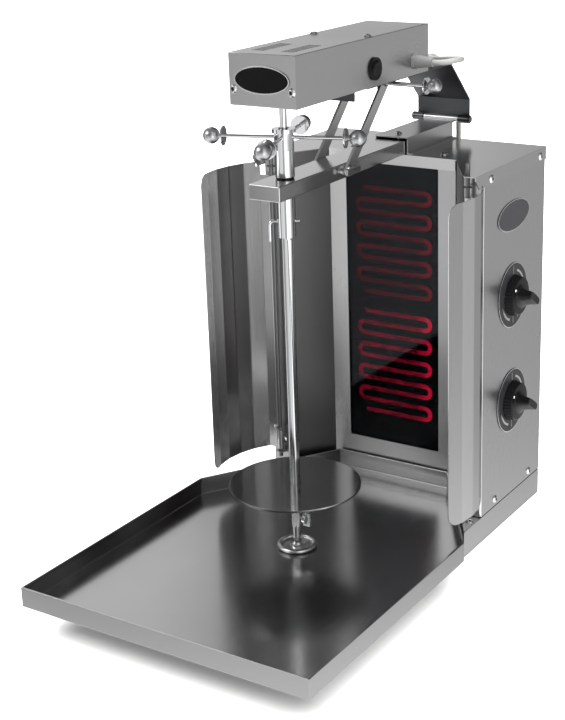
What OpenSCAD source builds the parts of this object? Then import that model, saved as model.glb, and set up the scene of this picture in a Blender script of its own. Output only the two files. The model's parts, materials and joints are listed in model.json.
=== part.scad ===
// Doner kebab grill: an electric tabletop vertical broiler with two heating
// zones, a turning spit under a tilting drive, two folded wings and a drip tray.
// X runs to the right, Y to the back and Z up. The origin lies on the table,
// on the plane of symmetry, below the front edges of the cabinet's sides.

/* [Cabinet] */
// Width across the side panels
cabinet_w = 291; // [275:1:310]
// Depth from the front edges of the sides to the back
cabinet_d = 165.6; // [158:0.2:180]
// Height of the side panels' upper edges above the table
cabinet_h = 445.8; // [440:0.2:470]
// Height of the plinth
plinth_h = 32; // [28:0.5:33]
// Reach of the plinth's horns in front of the sides
horn_reach = 44; // [38:1:52]
// Width of the flat strip beside each splayed plate
front_flat_w = 23.5; // [21:0.5:27]
// Thickness of the cabinet's sheet
sheet = 1; // [0.8:0.1:1.2]
// Depth of the cover's side flanges
flange_h = 15.8; // [13:0.2:18]

/* [Heater] */
// Width of the heater frame
heater_w = 169.4; // [160:0.2:176]
// Distance of the heater frame behind the front edges of the sides
heater_back = 52; // [46:1:58]
// Width of the frame's upright bars
stile_w = 22.4; // [20:0.2:25]
// Height of the window's lower edge above the table
window_low = 80; // [74:1:90]
// Height of the window's upper edge above the table
window_high = 433.4; // [425:0.2:434]
// Thickness of the glass
glass_t = 4; // [3:0.5:5]
// Width of an element over its bends
element_w = 106; // [96:1:110]
// Distance between two runs of an element
run_pitch = 14.4; // [12:0.2:14.8]
// Width of an element's strip
strip_w = 8; // [6:0.5:9]
// Height of the lowest run of the lower element
low_run_z = 117; // [112:1:122]
// Height of the lowest run of the upper element
high_run_z = 272; // [268:1:278]

/* [Tray] */
// Width of the drip tray
tray_w = 360; // [345:1:380]
// Height of the tray's wall
tray_h = 22.6; // [18:0.2:23]
// Height of the tray's underside above the table
tray_z = 35.2; // [34.5:0.1:38]
// Distance of the tray's front wall in front of the sides
tray_reach = 433.3; // [415:0.1:450]
// Distance of the tray's widest part in front of the sides
tray_taper_reach = 113; // [105:1:125]
// Width of the tray's back wall
tray_back_w = 154; // [144:1:160]
// Thickness of the tray's sheet
tray_t = 1.2; // [1:0.1:1.6]
// Depth of the folded hem along the rim
hem_h = 9; // [7:0.5:11]

/* [Wings] */
// Height of a wing's sheet
wing_h = 367; // [350:1:370]
// Height of a wing's lower edge above the table
wing_z = 69; // [68.5:0.5:74]
// Width of each of the five facets
facet_w = 21.8; // [19:0.2:23]
// Turn between two facets in degrees
fold_turn = 12.5; // [10:0.5:14]
// Radius of a wing's outer corners
wing_corner_r = 15; // [10:1:20]
// Thickness of a wing's sheet
wing_t = 1; // [0.8:0.1:1.4]
// Diameter of the rods that the wings turn on
rod_d = 5; // [4:0.5:6]

/* [Spit] */
// Distance of the spit's axis in front of the sides
spit_reach = 174.2; // [165:0.2:185]
// Width of the square spit bar
bar_w = 10; // [9:0.5:10.5]
// Diameter of the meat disc
disc_d = 148; // [130:1:160]
// Thickness of the meat disc
disc_t = 2.5; // [2:0.5:4]
// Height of the meat disc's upper face above the table
disc_z = 115; // [110:1:130]
// Outer diameter of the foot
foot_d = 45.6; // [38:0.2:50]
// Height of the foot's rim over the tray's floor
foot_h = 6; // [5:0.1:9]
// Diameter of the sleeve below the arm
sleeve_d = 20; // [18:0.5:22]
// Length of the cross handle's rods from the axis
handle_reach = 79; // [70:1:85]
// Diameter of the cross handle's balls
handle_ball_d = 18; // [15:0.5:20]

/* [Arm] */
// Width of the arm
arm_w = 38.4; // [36:0.2:40]
// Height of the arm
arm_h = 16.6; // [15:0.2:18]
// Reach of the arm in front of the spit's axis
arm_nose = 40.3; // [34:0.1:44]
// Wall of the arm
arm_t = 1.5; // [1.2:0.1:2]
// Width of the stays
stay_w = 14; // [12:0.5:16]
// Thickness of the stays
stay_t = 3; // [2:0.5:3.4]

/* [Drive] */
// Width of the drive box
box_w = 81.2; // [76:0.2:86]
// Reach of the drive box in front of the spit's axis
box_nose = 36.8; // [30:0.2:46]
// Distance of the drive box's back behind the front edges of the sides
box_tail = 70; // [62:1:80]
// Height of the drive box
box_h = 54; // [48:0.5:60]
// Height of the box's underside over the cover
box_rise = 96.8; // [94:0.2:104]
// Thickness of the box's sheet
box_t = 1.2; // [1:0.1:1.5]
// Width of the tilting plate
plate_w = 70.8; // [66:0.2:74]
// Thickness of the tilting plate
plate_t = 2.5; // [2:0.1:3]
// Distance of the hinge pin behind the front edges of the sides
pin_back = 180.8; // [178:0.2:190]
// Height of the hinge pin over the cover
pin_rise = 21.2; // [20.5:0.1:23]

/* [Controls] */
// Diameter of the dial plates
dial_d = 78; // [70:1:84]
// Height of the upper knob's axis
upper_knob_z = 286; // [270:1:300]
// Height of the lower knob's axis
lower_knob_z = 154.3; // [145:0.1:170]
// Distance of the knobs' axes behind the front edges of the sides
knob_back = 79.5; // [70:0.5:86]
// Diameter of a knob's skirt
knob_d = 49; // [44:1:54]
// Diameter of the switch's bezel
switch_d = 25; // [22:0.5:28]

/* [Hidden] */
$fn = 48;

// Clearances: between moving bodies, in a running fit, and the overrun of cuts
gap = 0.3;
run_fit = 0.05;
over = 1;

// Cabinet
base_t = 1;
seam_h = 1;
seam_set = 2;
inner_flange = 12;
frame_t = 1.2;
frame_lap = 5;
seat_z = plinth_h + seam_h;
cover_z = cabinet_h + sheet;
half_w = cabinet_w / 2;
half_heater = heater_w / 2;
flat_x = half_w - front_flat_w;
visor_in = 13.5;
visor_x = half_w - visor_in;
visor_reach = 24;
visor_corner = 22;
visor_r = 8;
front_lip_h = 12.4;
bevel_y = 9.3;
bevel_z = 11;
vent_w = 34;
vent_h = 3;
vent_pitch = 9;
vent_rows = 6;
vent_x = 44;
vent_z = 330;

// Runners under the tray
runner_x = 62;
runner_w = 20;
runner_front = 340;
runner_back = 48;
tongue_w = 30;

// Screws
head_d = 9.6;
head_h = 2.4;
head_top_share = 0.62;
low_head_h = 2;
shank_d = 5;
shank_l = 5;
short_shank_l = 2.5;
cover_screw_yz = [[17.7, 437.2], [150.2, 437.3]];
cover_top_x = 60.5;
cover_top_y = 70.1;
panel_screw_yz = [[38.2, 41.4], [134.9, 40.8]];
horn_screw_in = 6.8;
horn_screw_x = half_w - horn_screw_in;
horn_screw_y = -14.9;
tunnel_screw_y = 70.1;
bracket_screw_z = 78;

// Heater
element_t = 3;
element_gap = 0.6;
board_t = 12;
pan_t = 0.8;
pan_side = 6;
glass_side = 4;
pan_lip = 6;

// Wings
rod_in = 15.5;
rod_x = half_w - rod_in;
rod_reach = 8;
rod_low = 58;
rod_over = 12;
rod_high = cover_z + rod_over;
first_fold = [16.5, 1];
first_angle = 238;
knuckle_r = 4;
knuckle_h = 25;
relief_r = 16.5;
relief_drop = 16;
sweep_r = 20;
lug_t = 1.5;
lug_low = 64.5;
lug_high = 96;
lug_r = 6;
lug_slot_r = 9.5;
bracket_w = 16;
bracket_t = 1.2;
bracket_low = 62;
bracket_high = 100;
collar_z = 431;
collar_r = 5;
collar_t = 1.2;

// Spit
spit_y = -spit_reach;
floor_z = tray_z + tray_t;
arm_z = cover_z;
arm_top = arm_z + arm_h;
bush_flange_t = 1.5;
neck_d = 10;
lower_sleeve_l = 46.5;
upper_sleeve_d = 20.8;
upper_sleeve_z = arm_top + bush_flange_t + gap;
flat_cut = 0.8;
flat_low = 494;
flat_l = 16.5;
cap_z = 512;
cap_h = 4;
cap_d = 25;
sleeve_bore_d = 11;
sleeve_bore_l = 24;
spigot_l = 38;
slot_w = 4;
slot_l = 20;
handle_z = 507;
handle_rod_d = 4;
handle_angle = 18;
handle_disc_reach = 67;
handle_disc_d = 21;
handle_disc_t = 2;
handle_root = 6.5;
bar_low = 63;
bar_fit = 0.3;
hole_d = 3.5;
bar_holes = [167.4, 124];
foot_plate_t = 3;
foot_ring_w = 3.4;
foot_round = 1.6;
foot_boss_d = 16;
foot_boss_h = 5.6;
hub_d = 24;
hub_h = 29;
block_x = 9.5;
block_w = 16;
block_low = 66;
thumb_d = 5;
thumb_head_d = 13;
thumb_head_t = 5;
thumb_z = 74;
thumb_wing_l = 16;
pin_d = 3.8;
pin_z = 417;
pin_angle = 33;
pin_out = 14;
pin_drop = 22;
pin_bend = 4;

// Arm and stays
tunnel_w = 44;
tunnel_h = 20.2;
tunnel_t = 1.5;
tunnel_front = 53.6;
tunnel_back = 168;
tunnel_foot = 6;
arm_back = 160;
bush_d = 16;
bush_flange_d = 19;
clamp_y = -80;
clamp_z = arm_z + arm_h / 2;
clamp_d = 6;
stay_head = 11;

// Drive
box_z = cover_z + box_rise;
box_top = box_z + box_h;
box_front = -spit_reach - box_nose;
box_back = box_tail;
box_l = box_back - box_front;
hinge_z = cover_z + pin_rise;
hinge_d = 5;
end_knuckle_d = 10;
mid_knuckle_d = 7.5;
mid_knuckle_w = 47.4;
end_knuckle_w = 14.9;
weld = 0.3;
plate_back = pin_back + end_knuckle_d / 2 + plate_t - weld;
plate_bend_z = 492.5;
plate_front = -60;
lip_w = 35;
lip_h = 17.3;
lug_x = 17;
lug_w = 19;
lug_front = -8;
lug_drop = 11;
lug_sheet = 1.5;
lock_y = 3;
lock_drop = 5.6;
lock_z = box_z - lock_drop;
lock_d = 5;
lock_left = -25;
lock_disc_x = 72.7;
lock_disc_d = 19;
lock_disc_t = 2;
lock_ball_x = 83.5;
lock_ball_d = 17;
slot_gap = 0.6;
base_flange = 14;
gear_w = 52;
gear_l = 56;
gear_h = 42;
gear_in = 9;
gear_front = box_front + gear_in;
boss_d = 13;
motor_d = 34;
motor_l = 70;
motor_rise = 24;
shaft_d = 8;
shaft_in = 7;
shaft_low = 508;
shaft_pin_d = 3;
shaft_pin_l = 17;
shaft_pin_z = 514.4;
hood_vent_l = 16;
hood_vent_w = 2.6;
hood_vent_pitch = 5.6;
hood_vent_n = 10;
hood_vent_x = 18;
hood_vent_in = 21;
hood_vent_front = box_front + hood_vent_in;
switch_y = -54;
switch_rise = 19.4;
switch_z = box_z + switch_rise;
switch_lip = 2.4;
switch_hole = 19.6;
rocker_d = 19;
rocker_tilt = 12;
rocker_out = 4;
rocker_in = 3;
trunnion_d = 3;
trunnion_l = 20;
switch_depth = 20;
front_screw_x = 35.3;
front_screw_rise = 16.8;
front_screw_z = box_z + front_screw_rise;
top_screw_x = 34;
top_screw_y = -57;
badge_w = 67;
badge_h = 29;
badge_t = 1;
badge_rise = 27.4;
badge_z = box_z + badge_rise;
side_badge_l = 84;
side_badge_h = 36;
side_badge_y = 78.8;
side_badge_z = 382.4;
gland_y = 35;
gland_rise = 15.4;
gland_z = box_z + gland_rise;
gland_nut_d = 18;
gland_nut_l = 7;
gland_body_d = 15;
gland_tip_d = 10;
gland_l = 24.4;

// Controls
spindle_d = 6;
spindle_out = 15;
neck_out_d = 9;
dial_t = 1;
regulator_x = 32;
regulator_y = 40;
regulator_z = 34;
skirt_h = 10;
skirt_top_d = 44;
grip_out = 29;
grip_base_w = 16;
grip_tip_w = 8;
grip_l = 46;
grip_turn = 146;

// Cables
cable_d = 6.5;
cable_gland_x = 12;
cable_gland_z = 415;
cable_gland_l = 12;
mains_x = -95;
mains_z = 62;
cable_sides = 10;
block_wide = 24;
block_long = 48;
block_high = 12;
block_behind = 12;
cable_route = [
  [60, 35, 559], [66, 35, 559], [72.5, 35.8, 559], [79, 40, 559.4], [84, 48, 560], [85.5, 59, 560],
  [83, 70, 559], [76.5, 80, 557.5], [67, 88, 556], [55, 94, 554.6], [42, 98.5, 553.2],
  [30, 104, 552.2], [20.5, 112, 551.6], [14.5, 123, 551.5], [12, 135, 550.5], [11.6, 146, 546],
  [11.8, 157, 538], [12, 168, 528.5], [12, 179, 518], [12, 190, 506], [12, 197.5, 492],
  [12, 201.5, 477], [12, 203.5, 462], [12, 204, 450], [12, 203.9, 441],
  [12, 202.8, 434], [12, 200, 427.6], [12, 195.6, 422], [12, 189.8, 417.8],
  [12, 183.6, 415.5], [12, 177.5, 415], [12, 172, 415]
];

// Plane geometry
function unit(v) = v / norm(v);
function left_of(v) = [-v[1], v[0]];
function turned(v, a) = [v[0] * cos(a) - v[1] * sin(a), v[0] * sin(a) + v[1] * cos(a)];
function crossed(u, v) = u[0] * v[1] - u[1] * v[0];
function side_of(p, i) = left_of(unit(p[i + 1] - p[i]));
function mitre(p, i, t) = let(
    n = len(p),
    a = i > 0 ? side_of(p, i - 1) : side_of(p, 0),
    b = i < n - 1 ? side_of(p, i) : side_of(p, n - 2))
  p[i] + (a + b) * t / (1 + a * b);
// Outline of a folded sheet whose outer face follows the points p
function strip(p, t) = concat(p, [for (i = [len(p) - 1:-1:0]) mitre(p, i, t)]);
// A closed outline moved inwards by t
function inset(p, t) = let(n = len(p)) [for (i = [0:n - 1]) let(
    a = left_of(unit(p[i] - p[(i + n - 1) % n])),
    b = left_of(unit(p[(i + 1) % n] - p[i])))
  p[i] + (a + b) * t / (1 + a * b)];
// Points of an arc of radius r that rounds the corner b between a and c
function rounded(a, b, c, r, n = 6) = let(
    u = unit(a - b),
    v = unit(c - b),
    half = acos(u * v) / 2,
    start = b + u * r / tan(half),
    centre = b + unit(u + v) * r / sin(half),
    turn = (180 - 2 * half) * sign(crossed(-u, v)))
  [for (i = [0:n]) centre + turned(start - centre, turn * i / n)];
function mirrored(p) = [for (i = [len(p) - 1:-1:0]) [-p[i][0], p[i][1]]];
function ellipse(a, b, n = 48) = [for (i = [0:n - 1]) [a * cos(360 * i / n), b * sin(360 * i / n)]];

// Extrudes a drawing of the (Y, Z) plane along X from x
module along_x(x, l) {
  translate([x, 0, 0]) rotate([90, 0, 90]) linear_extrude(l) children();
}
// Extrudes a drawing of the (X, Z) plane along Y from y
module along_y(y, l) {
  translate([0, y + l, 0]) rotate([90, 0, 0]) linear_extrude(l) children();
}
module rod_x(x, y, z, d, l) {
  translate([x, y, z]) rotate([0, 90, 0]) cylinder(d = d, h = l);
}
module rod_y(x, y, z, d, l) {
  translate([x, y, z]) rotate([-90, 0, 0]) cylinder(d = d, h = l);
}
module both_sides() {
  children();
  mirror([1, 0, 0]) children();
}
// A pan-head screw whose head stands on z = 0
module pan_screw(d = head_d, h = head_h, shank = shank_d, l = shank_l) {
  cylinder(d1 = d, d2 = d * head_top_share, h = h);
  translate([0, 0, -l]) cylinder(d = shank, h = l);
}
module hole(d = shank_d) {
  translate([0, 0, -shank_l - over]) cylinder(d = d + 2 * run_fit, h = shank_l + 2 * over);
}
module on_right(y, z, x = half_w) {
  translate([x, y, z]) rotate([0, 90, 0]) children();
}

// Outlines seen from above
cabinet_plan = [
  [-half_w, cabinet_d], [-half_w, 0], [-flat_x, 0], [-half_heater, heater_back],
  [half_heater, heater_back], [flat_x, 0], [half_w, 0], [half_w, cabinet_d]
];
plinth_plan = [
  [-half_w, cabinet_d], [-half_w, -horn_reach], [-half_heater, heater_back],
  [half_heater, heater_back], [half_w, -horn_reach], [half_w, cabinet_d]
];
tray_plan = [
  [-tray_back_w / 2, runner_back + tray_t], [-tray_w / 2, -tray_taper_reach],
  [-tray_w / 2, -tray_reach], [tray_w / 2, -tray_reach],
  [tray_w / 2, -tray_taper_reach], [tray_back_w / 2, runner_back + tray_t]
];

module base_plate() {
  color("silver") {
    translate([-half_w, -horn_reach, 0]) cube([cabinet_w, cabinet_d + horn_reach, base_t]);
    both_sides() translate([runner_x - tongue_w / 2, -runner_front, 0])
      cube([tongue_w, runner_front - horn_reach, base_t]);
  }
}

module plinth() {
  color("silver") difference() {
    union() {
      translate([0, 0, base_t]) linear_extrude(plinth_h - base_t - sheet) difference() {
        polygon(plinth_plan);
        polygon(inset(plinth_plan, sheet));
      }
      translate([0, 0, plinth_h - sheet]) linear_extrude(sheet) polygon(plinth_plan);
      translate([0, 0, plinth_h]) linear_extrude(seam_h) polygon(inset(cabinet_plan, seam_set));
    }
    both_sides() translate([horn_screw_x, horn_screw_y, plinth_h]) hole();
  }
}

module tray_runners() {
  top = tray_z - base_t;
  color("silver") both_sides() translate([runner_x, 0, base_t])
    along_y(-runner_front, runner_front + runner_back) polygon(strip([
      [-runner_w / 2 + sheet, 0], [-runner_w / 2 + sheet, top - sheet],
      [runner_w / 2 - sheet, top - sheet], [runner_w / 2 - sheet, 0]
    ], sheet));
}

module side_panel() {
  difference() {
    union() {
      translate([0, 0, seat_z]) linear_extrude(cabinet_h - seat_z)
        polygon(strip([[flat_x, 0], [half_w, 0], [half_w, cabinet_d - sheet]], sheet));
      translate([half_w - inner_flange, sheet, seat_z])
        cube([inner_flange - sheet, cabinet_d - 2 * sheet, sheet]);
    }
    for (p = concat(cover_screw_yz, panel_screw_yz)) on_right(p[0], p[1]) hole();
    translate([rod_x, 0, bracket_screw_z]) rotate([90, 0, 0]) hole();
  }
}

module right_side_panel() {
  color("gainsboro") difference() {
    side_panel();
    for (z = [upper_knob_z, lower_knob_z]) on_right(knob_back, z) hole(neck_out_d);
  }
}

module left_side_panel() {
  color("gainsboro") mirror([1, 0, 0]) side_panel();
}

module rear_panel() {
  color("gainsboro") difference() {
    translate([-half_w, cabinet_d - sheet, seat_z]) cube([cabinet_w, sheet, cabinet_h - seat_z]);
    translate([cable_gland_x, cabinet_d, cable_gland_z]) rotate([-90, 0, 0]) hole(cable_d);
    translate([mains_x, cabinet_d, mains_z]) rotate([-90, 0, 0]) hole(cable_d);
    for (i = [0:vent_rows - 1]) both_sides()
      translate([vent_x - vent_w / 2, cabinet_d - sheet - over, vent_z + i * vent_pitch])
        cube([vent_w, sheet + 2 * over, vent_h]);
  }
}

module splay_plates() {
  back = heater_back + frame_t;
  color("gainsboro") both_sides() difference() {
    translate([0, 0, seat_z]) linear_extrude(cabinet_h - seat_z) polygon(strip([
      [half_heater - frame_lap, back], [half_heater, back],
      [flat_x, sheet], [flat_x + inner_flange, sheet]
    ], sheet));
    translate([rod_x, 0, bracket_screw_z]) rotate([90, 0, 0]) hole();
  }
}

module heater_frame() {
  color("lightgray") difference() {
    translate([-half_heater, heater_back, seat_z]) cube([heater_w, frame_t, cabinet_h - seat_z]);
    translate([stile_w - half_heater, heater_back - over, window_low])
      cube([heater_w - 2 * stile_w, frame_t + 2 * over, window_high - window_low]);
  }
}

module heater_glass() {
  half = half_heater - stile_w + glass_side;
  color([0.1, 0.1, 0.11]) translate([-half, heater_back + frame_t, window_low - glass_side])
    cube([2 * half, glass_t, window_high - window_low + 2 * glass_side]);
}

element_front = heater_back + frame_t + glass_t + element_gap;
board_front = element_front + element_t;

// Flat strip that winds up and down in ten runs, its ends on the left
module winding() {
  span = element_w - run_pitch - strip_w;
  runs = 10;
  for (i = [0:runs - 1]) translate([-span / 2, i * run_pitch - strip_w / 2]) square([span, strip_w]);
  for (i = [0:runs - 2]) translate([(i % 2 == 0 ? 1 : -1) * span / 2, (i + 0.5) * run_pitch])
    mirror([i % 2, 0]) difference() {
      circle(d = run_pitch + strip_w);
      circle(d = run_pitch - strip_w);
      translate([-run_pitch - strip_w, -run_pitch - strip_w])
        square([run_pitch + strip_w, 2 * (run_pitch + strip_w)]);
    }
}

module element(z) {
  translate([0, 0, z]) along_y(element_front, element_t) winding();
}

module upper_element() {
  color("crimson") element(high_run_z);
}

module lower_element() {
  color("crimson") element(low_run_z);
}

module insulation_board() {
  half = half_heater - stile_w + pan_side - pan_t;
  low = window_low - pan_side + pan_t;
  color("ivory") translate([-half, board_front, low])
    cube([2 * half, board_t, window_high - window_low + 2 * (pan_side - pan_t)]);
}

module reflector_pan() {
  half = half_heater - stile_w + pan_side;
  low = window_low - pan_side;
  high = window_high + pan_side;
  front = heater_back + frame_t;
  back = board_front + board_t + pan_t;
  color("lightgray") difference() {
    union() {
      translate([-half, front, low]) cube([2 * half, back - front, high - low]);
      translate([-half - pan_lip, front, low]) cube([2 * (half + pan_lip), pan_t, high - low]);
    }
    translate([pan_t - half, front - over, low + pan_t])
      cube([2 * (half - pan_t), back - front - pan_t + over, high - low - 2 * pan_t]);
  }
}

module top_cover() {
  side = half_w + sheet;
  front_y = heater_back - sheet;
  nose = [visor_x, -visor_reach];
  right_edge = concat(
    rounded([half_heater, front_y], nose, [side, -visor_corner], visor_r),
    [[side, -visor_corner], [side, cabinet_d + sheet]]);
  plan = concat([[half_heater + sheet, front_y]], right_edge, mirrored(right_edge),
    [[-half_heater - sheet, front_y]]);
  low = cover_z - flange_h;
  color("whitesmoke") difference() {
    union() {
      translate([0, 0, cabinet_h]) linear_extrude(sheet) polygon(plan);
      both_sides() along_x(half_w, sheet) polygon([
        [-visor_corner, cover_z], [-visor_corner, cover_z - flange_h + bevel_z],
        [bevel_y - visor_corner, low], [cabinet_d + sheet, low], [cabinet_d + sheet, cover_z]
      ]);
      translate([-side, cabinet_d, low]) cube([2 * side, sheet, flange_h]);
      translate([-half_heater, front_y, cover_z - front_lip_h - sheet])
        cube([heater_w, sheet, front_lip_h + sheet]);
    }
    for (p = cover_screw_yz) both_sides() on_right(p[0], p[1], half_w + sheet) hole();
    both_sides() translate([cover_top_x, cover_top_y, cover_z]) hole();
    both_sides() translate([rod_x, -rod_reach, cover_z]) hole(rod_d);
  }
}

module arm_tunnel() {
  half = tunnel_w / 2;
  top = cover_z + tunnel_h;
  color("whitesmoke") difference() {
    union() {
      along_y(tunnel_front, tunnel_back - tunnel_front) polygon(strip([
        [-half - tunnel_foot, cover_z], [tunnel_t - half, cover_z], [tunnel_t - half, top - tunnel_t],
        [half - tunnel_t, top - tunnel_t], [half - tunnel_t, cover_z], [half + tunnel_foot, cover_z]
      ], tunnel_t));
      translate([-half, tunnel_back, top - tunnel_t])
        cube([tunnel_w, pin_back - tunnel_back, tunnel_t]);
      rod_x(-mid_knuckle_w / 2, pin_back, hinge_z, mid_knuckle_d, mid_knuckle_w);
    }
    rod_x(-mid_knuckle_w / 2 - over, pin_back, hinge_z, hinge_d + 2 * run_fit, mid_knuckle_w + 2 * over);
    translate([0, tunnel_screw_y, top]) hole();
  }
}

module arm() {
  half = arm_w / 2;
  front = spit_y - arm_nose;
  color("whitesmoke") difference() {
    translate([-half, front, arm_z]) cube([arm_w, arm_back - front, arm_h]);
    translate([arm_t - half, front + arm_t, arm_z + arm_t])
      cube([arm_w - 2 * arm_t, arm_back - front, arm_h - 2 * arm_t]);
    translate([0, spit_y, arm_z - over]) cylinder(d = bush_d, h = arm_h + 2 * over);
    rod_x(-half - over, clamp_y, clamp_z, clamp_d + 2 * run_fit, arm_w + 2 * over);
  }
}

module arm_bush() {
  color("goldenrod") translate([0, spit_y, arm_z]) difference() {
    union() {
      cylinder(d = bush_d, h = arm_h);
      translate([0, 0, arm_h]) cylinder(d = bush_flange_d, h = bush_flange_t);
    }
    translate([0, 0, -over]) cylinder(d = neck_d + 2 * run_fit, h = arm_h + bush_flange_t + 2 * over);
  }
}

// Side view of a stay: a bar from the clamp screw up to the notch of the lock rod
module stay_side() {
  foot = [clamp_y, clamp_z];
  head = [lock_y, lock_z];
  dir = unit(head - foot);
  side = left_of(dir) * stay_w / 2;
  top = box_z - plate_t - 2 * gap;
  difference() {
    union() {
      translate(foot) circle(d = stay_w);
      intersection() {
        polygon([foot - side, head + dir * stay_head - side, head + dir * stay_head + side, foot + side]);
        translate([clamp_y - stay_w, arm_z]) square([-2 * clamp_y, top - arm_z]);
      }
    }
    translate(foot) circle(d = clamp_d + 2 * run_fit);
    translate(head) circle(d = lock_d + 2 * slot_gap);
    translate(head) rotate(-lift_angle) translate([-lock_d / 2 - slot_gap, 0])
      square([lock_d + 2 * slot_gap, stay_head]);
  }
}
// Direction in which the lock rod leaves the notch as the drive tilts
lift_angle = atan2(lock_z - hinge_z, pin_back - lock_y);

module stays() {
  color("lightgray") both_sides() along_x(arm_w / 2, stay_t) stay_side();
}

module stay_clamp() {
  reach = arm_w / 2 + stay_t;
  wing = stay_w;
  color("silver") {
    rod_x(-reach - stay_t, clamp_y, clamp_z, clamp_d, 2 * reach + 2 * stay_t);
    rod_x(-reach - stay_t, clamp_y, clamp_z, 2 * clamp_d, stay_t);
    rod_x(reach, clamp_y, clamp_z, 2 * clamp_d, stay_t);
    translate([reach + stay_t, clamp_y - wing, clamp_z - clamp_d / 2]) cube([stay_t, 2 * wing, clamp_d]);
  }
}

module wing_rods() {
  color("silver") both_sides() translate([rod_x, -rod_reach, 0]) {
    translate([0, 0, rod_low]) cylinder(d = rod_d, h = rod_high - rod_low);
    translate([0, 0, collar_z]) cylinder(r = collar_r, h = collar_t);
  }
}

module wing_brackets() {
  color("silver") both_sides() difference() {
    union() {
      translate([rod_x - bracket_w / 2, -bracket_t, bracket_low])
        cube([bracket_w, bracket_t, bracket_high - bracket_low]);
      for (z = [lug_low, lug_high]) translate([rod_x, -rod_reach, z]) {
        cylinder(r = lug_r, h = lug_t);
        translate([-lug_r, 0, 0]) cube([2 * lug_r, rod_reach - bracket_t, lug_t]);
      }
    }
    translate([rod_x, -rod_reach, rod_low]) cylinder(d = rod_d + 2 * run_fit, h = rod_high - rod_low);
    translate([rod_x, -bracket_t, bracket_screw_z]) rotate([90, 0, 0]) hole();
  }
}

// Fold lines of the right wing's outer face, seen from the rod
function fold(i) = i == 0 ? first_fold :
  fold(i - 1) + facet_w * [-cos(first_angle + fold_turn * (i - 1)), sin(first_angle + fold_turn * (i - 1))];
wing_line = concat([for (i = [5:-1:0]) fold(i)], [[knuckle_r / 2, first_fold[1]]]);

module wing() {
  tip = fold(5);
  last = unit(fold(5) - fold(4));
  difference() {
    union() {
      translate([0, 0, wing_z]) linear_extrude(wing_h) polygon(strip(wing_line, wing_t));
      for (z = [wing_z, wing_z + wing_h - relief_drop - knuckle_h])
        translate([0, 0, z]) cylinder(r = knuckle_r, h = knuckle_h);
    }
    translate([0, 0, wing_z - over]) cylinder(d = rod_d + 2 * run_fit, h = wing_h + 2 * over);
    translate([0, 0, wing_z + wing_h - relief_drop]) cylinder(r = relief_r, h = relief_drop + over);
    translate([0, 0, cover_z - flange_h - 2 * gap]) cylinder(r = sweep_r, h = flange_h);
    translate([0, 0, lug_high - lug_t]) cylinder(r = lug_slot_r, h = 3 * lug_t);
    translate([0, 0, wing_z + knuckle_h])
      cylinder(r = knuckle_r + gap, h = wing_h - relief_drop - 2 * knuckle_h);
    for (end = [0, 1]) translate([tip[0], tip[1], wing_z + end * wing_h]) mirror([0, 0, end])
      rotate([0, 0, atan2(last[1], last[0])]) rotate([90, 0, 0])
        translate([-wing_corner_r, 0, -wing_corner_r]) linear_extrude(2 * wing_corner_r) difference() {
          translate([0, -over]) square([wing_corner_r + over, wing_corner_r + over]);
          translate([0, wing_corner_r]) circle(r = wing_corner_r);
        }
  }
}

module right_wing() {
  color("lightgray") translate([rod_x, -rod_reach, 0]) wing();
}

module left_wing() {
  color("lightgray") mirror([1, 0, 0]) translate([rod_x, -rod_reach, 0]) wing();
}

module dial_plates() {
  color([0.2, 0.2, 0.21]) for (z = [upper_knob_z, lower_knob_z]) difference() {
    on_right(knob_back, z) cylinder(d = dial_d, h = dial_t);
    on_right(knob_back, z, half_w + dial_t) hole(neck_out_d);
  }
}

module regulators() {
  inner = half_w - sheet;
  color("dimgray") for (z = [upper_knob_z, lower_knob_z]) {
    translate([inner - regulator_x, knob_back - regulator_y / 2, z - regulator_z / 2])
      cube([regulator_x, regulator_y, regulator_z]);
    on_right(knob_back, z, inner) cylinder(d = neck_out_d, h = sheet + dial_t);
    on_right(knob_back, z, inner) cylinder(d = spindle_d, h = sheet + dial_t + spindle_out);
  }
}

module terminal_block() {
  color("beige") translate([mains_x - block_wide / 2, cabinet_d - block_behind - block_long, seat_z])
    cube([block_wide, block_long, block_high]);
}

module gland(l) {
  color([0.08, 0.08, 0.08]) difference() {
    union() {
      cylinder(d = gland_nut_d, h = gland_nut_l / 2, $fn = 6);
      cylinder(d = gland_body_d, h = gland_nut_l);
      translate([0, 0, gland_nut_l]) cylinder(d1 = gland_body_d, d2 = gland_tip_d, h = l - gland_nut_l);
    }
    translate([0, 0, -over]) cylinder(d = cable_d + gap, h = l + 2 * over);
  }
}

module mains_gland() {
  translate([mains_x, cabinet_d, mains_z]) rotate([-90, 0, 0]) gland(cable_gland_l);
}

module cable_gland() {
  translate([cable_gland_x, cabinet_d, cable_gland_z]) rotate([-90, 0, 0]) gland(cable_gland_l);
}

module drive_gland() {
  translate([box_w / 2, gland_y, gland_z]) rotate([0, 90, 0]) gland(gland_l);
}

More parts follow.
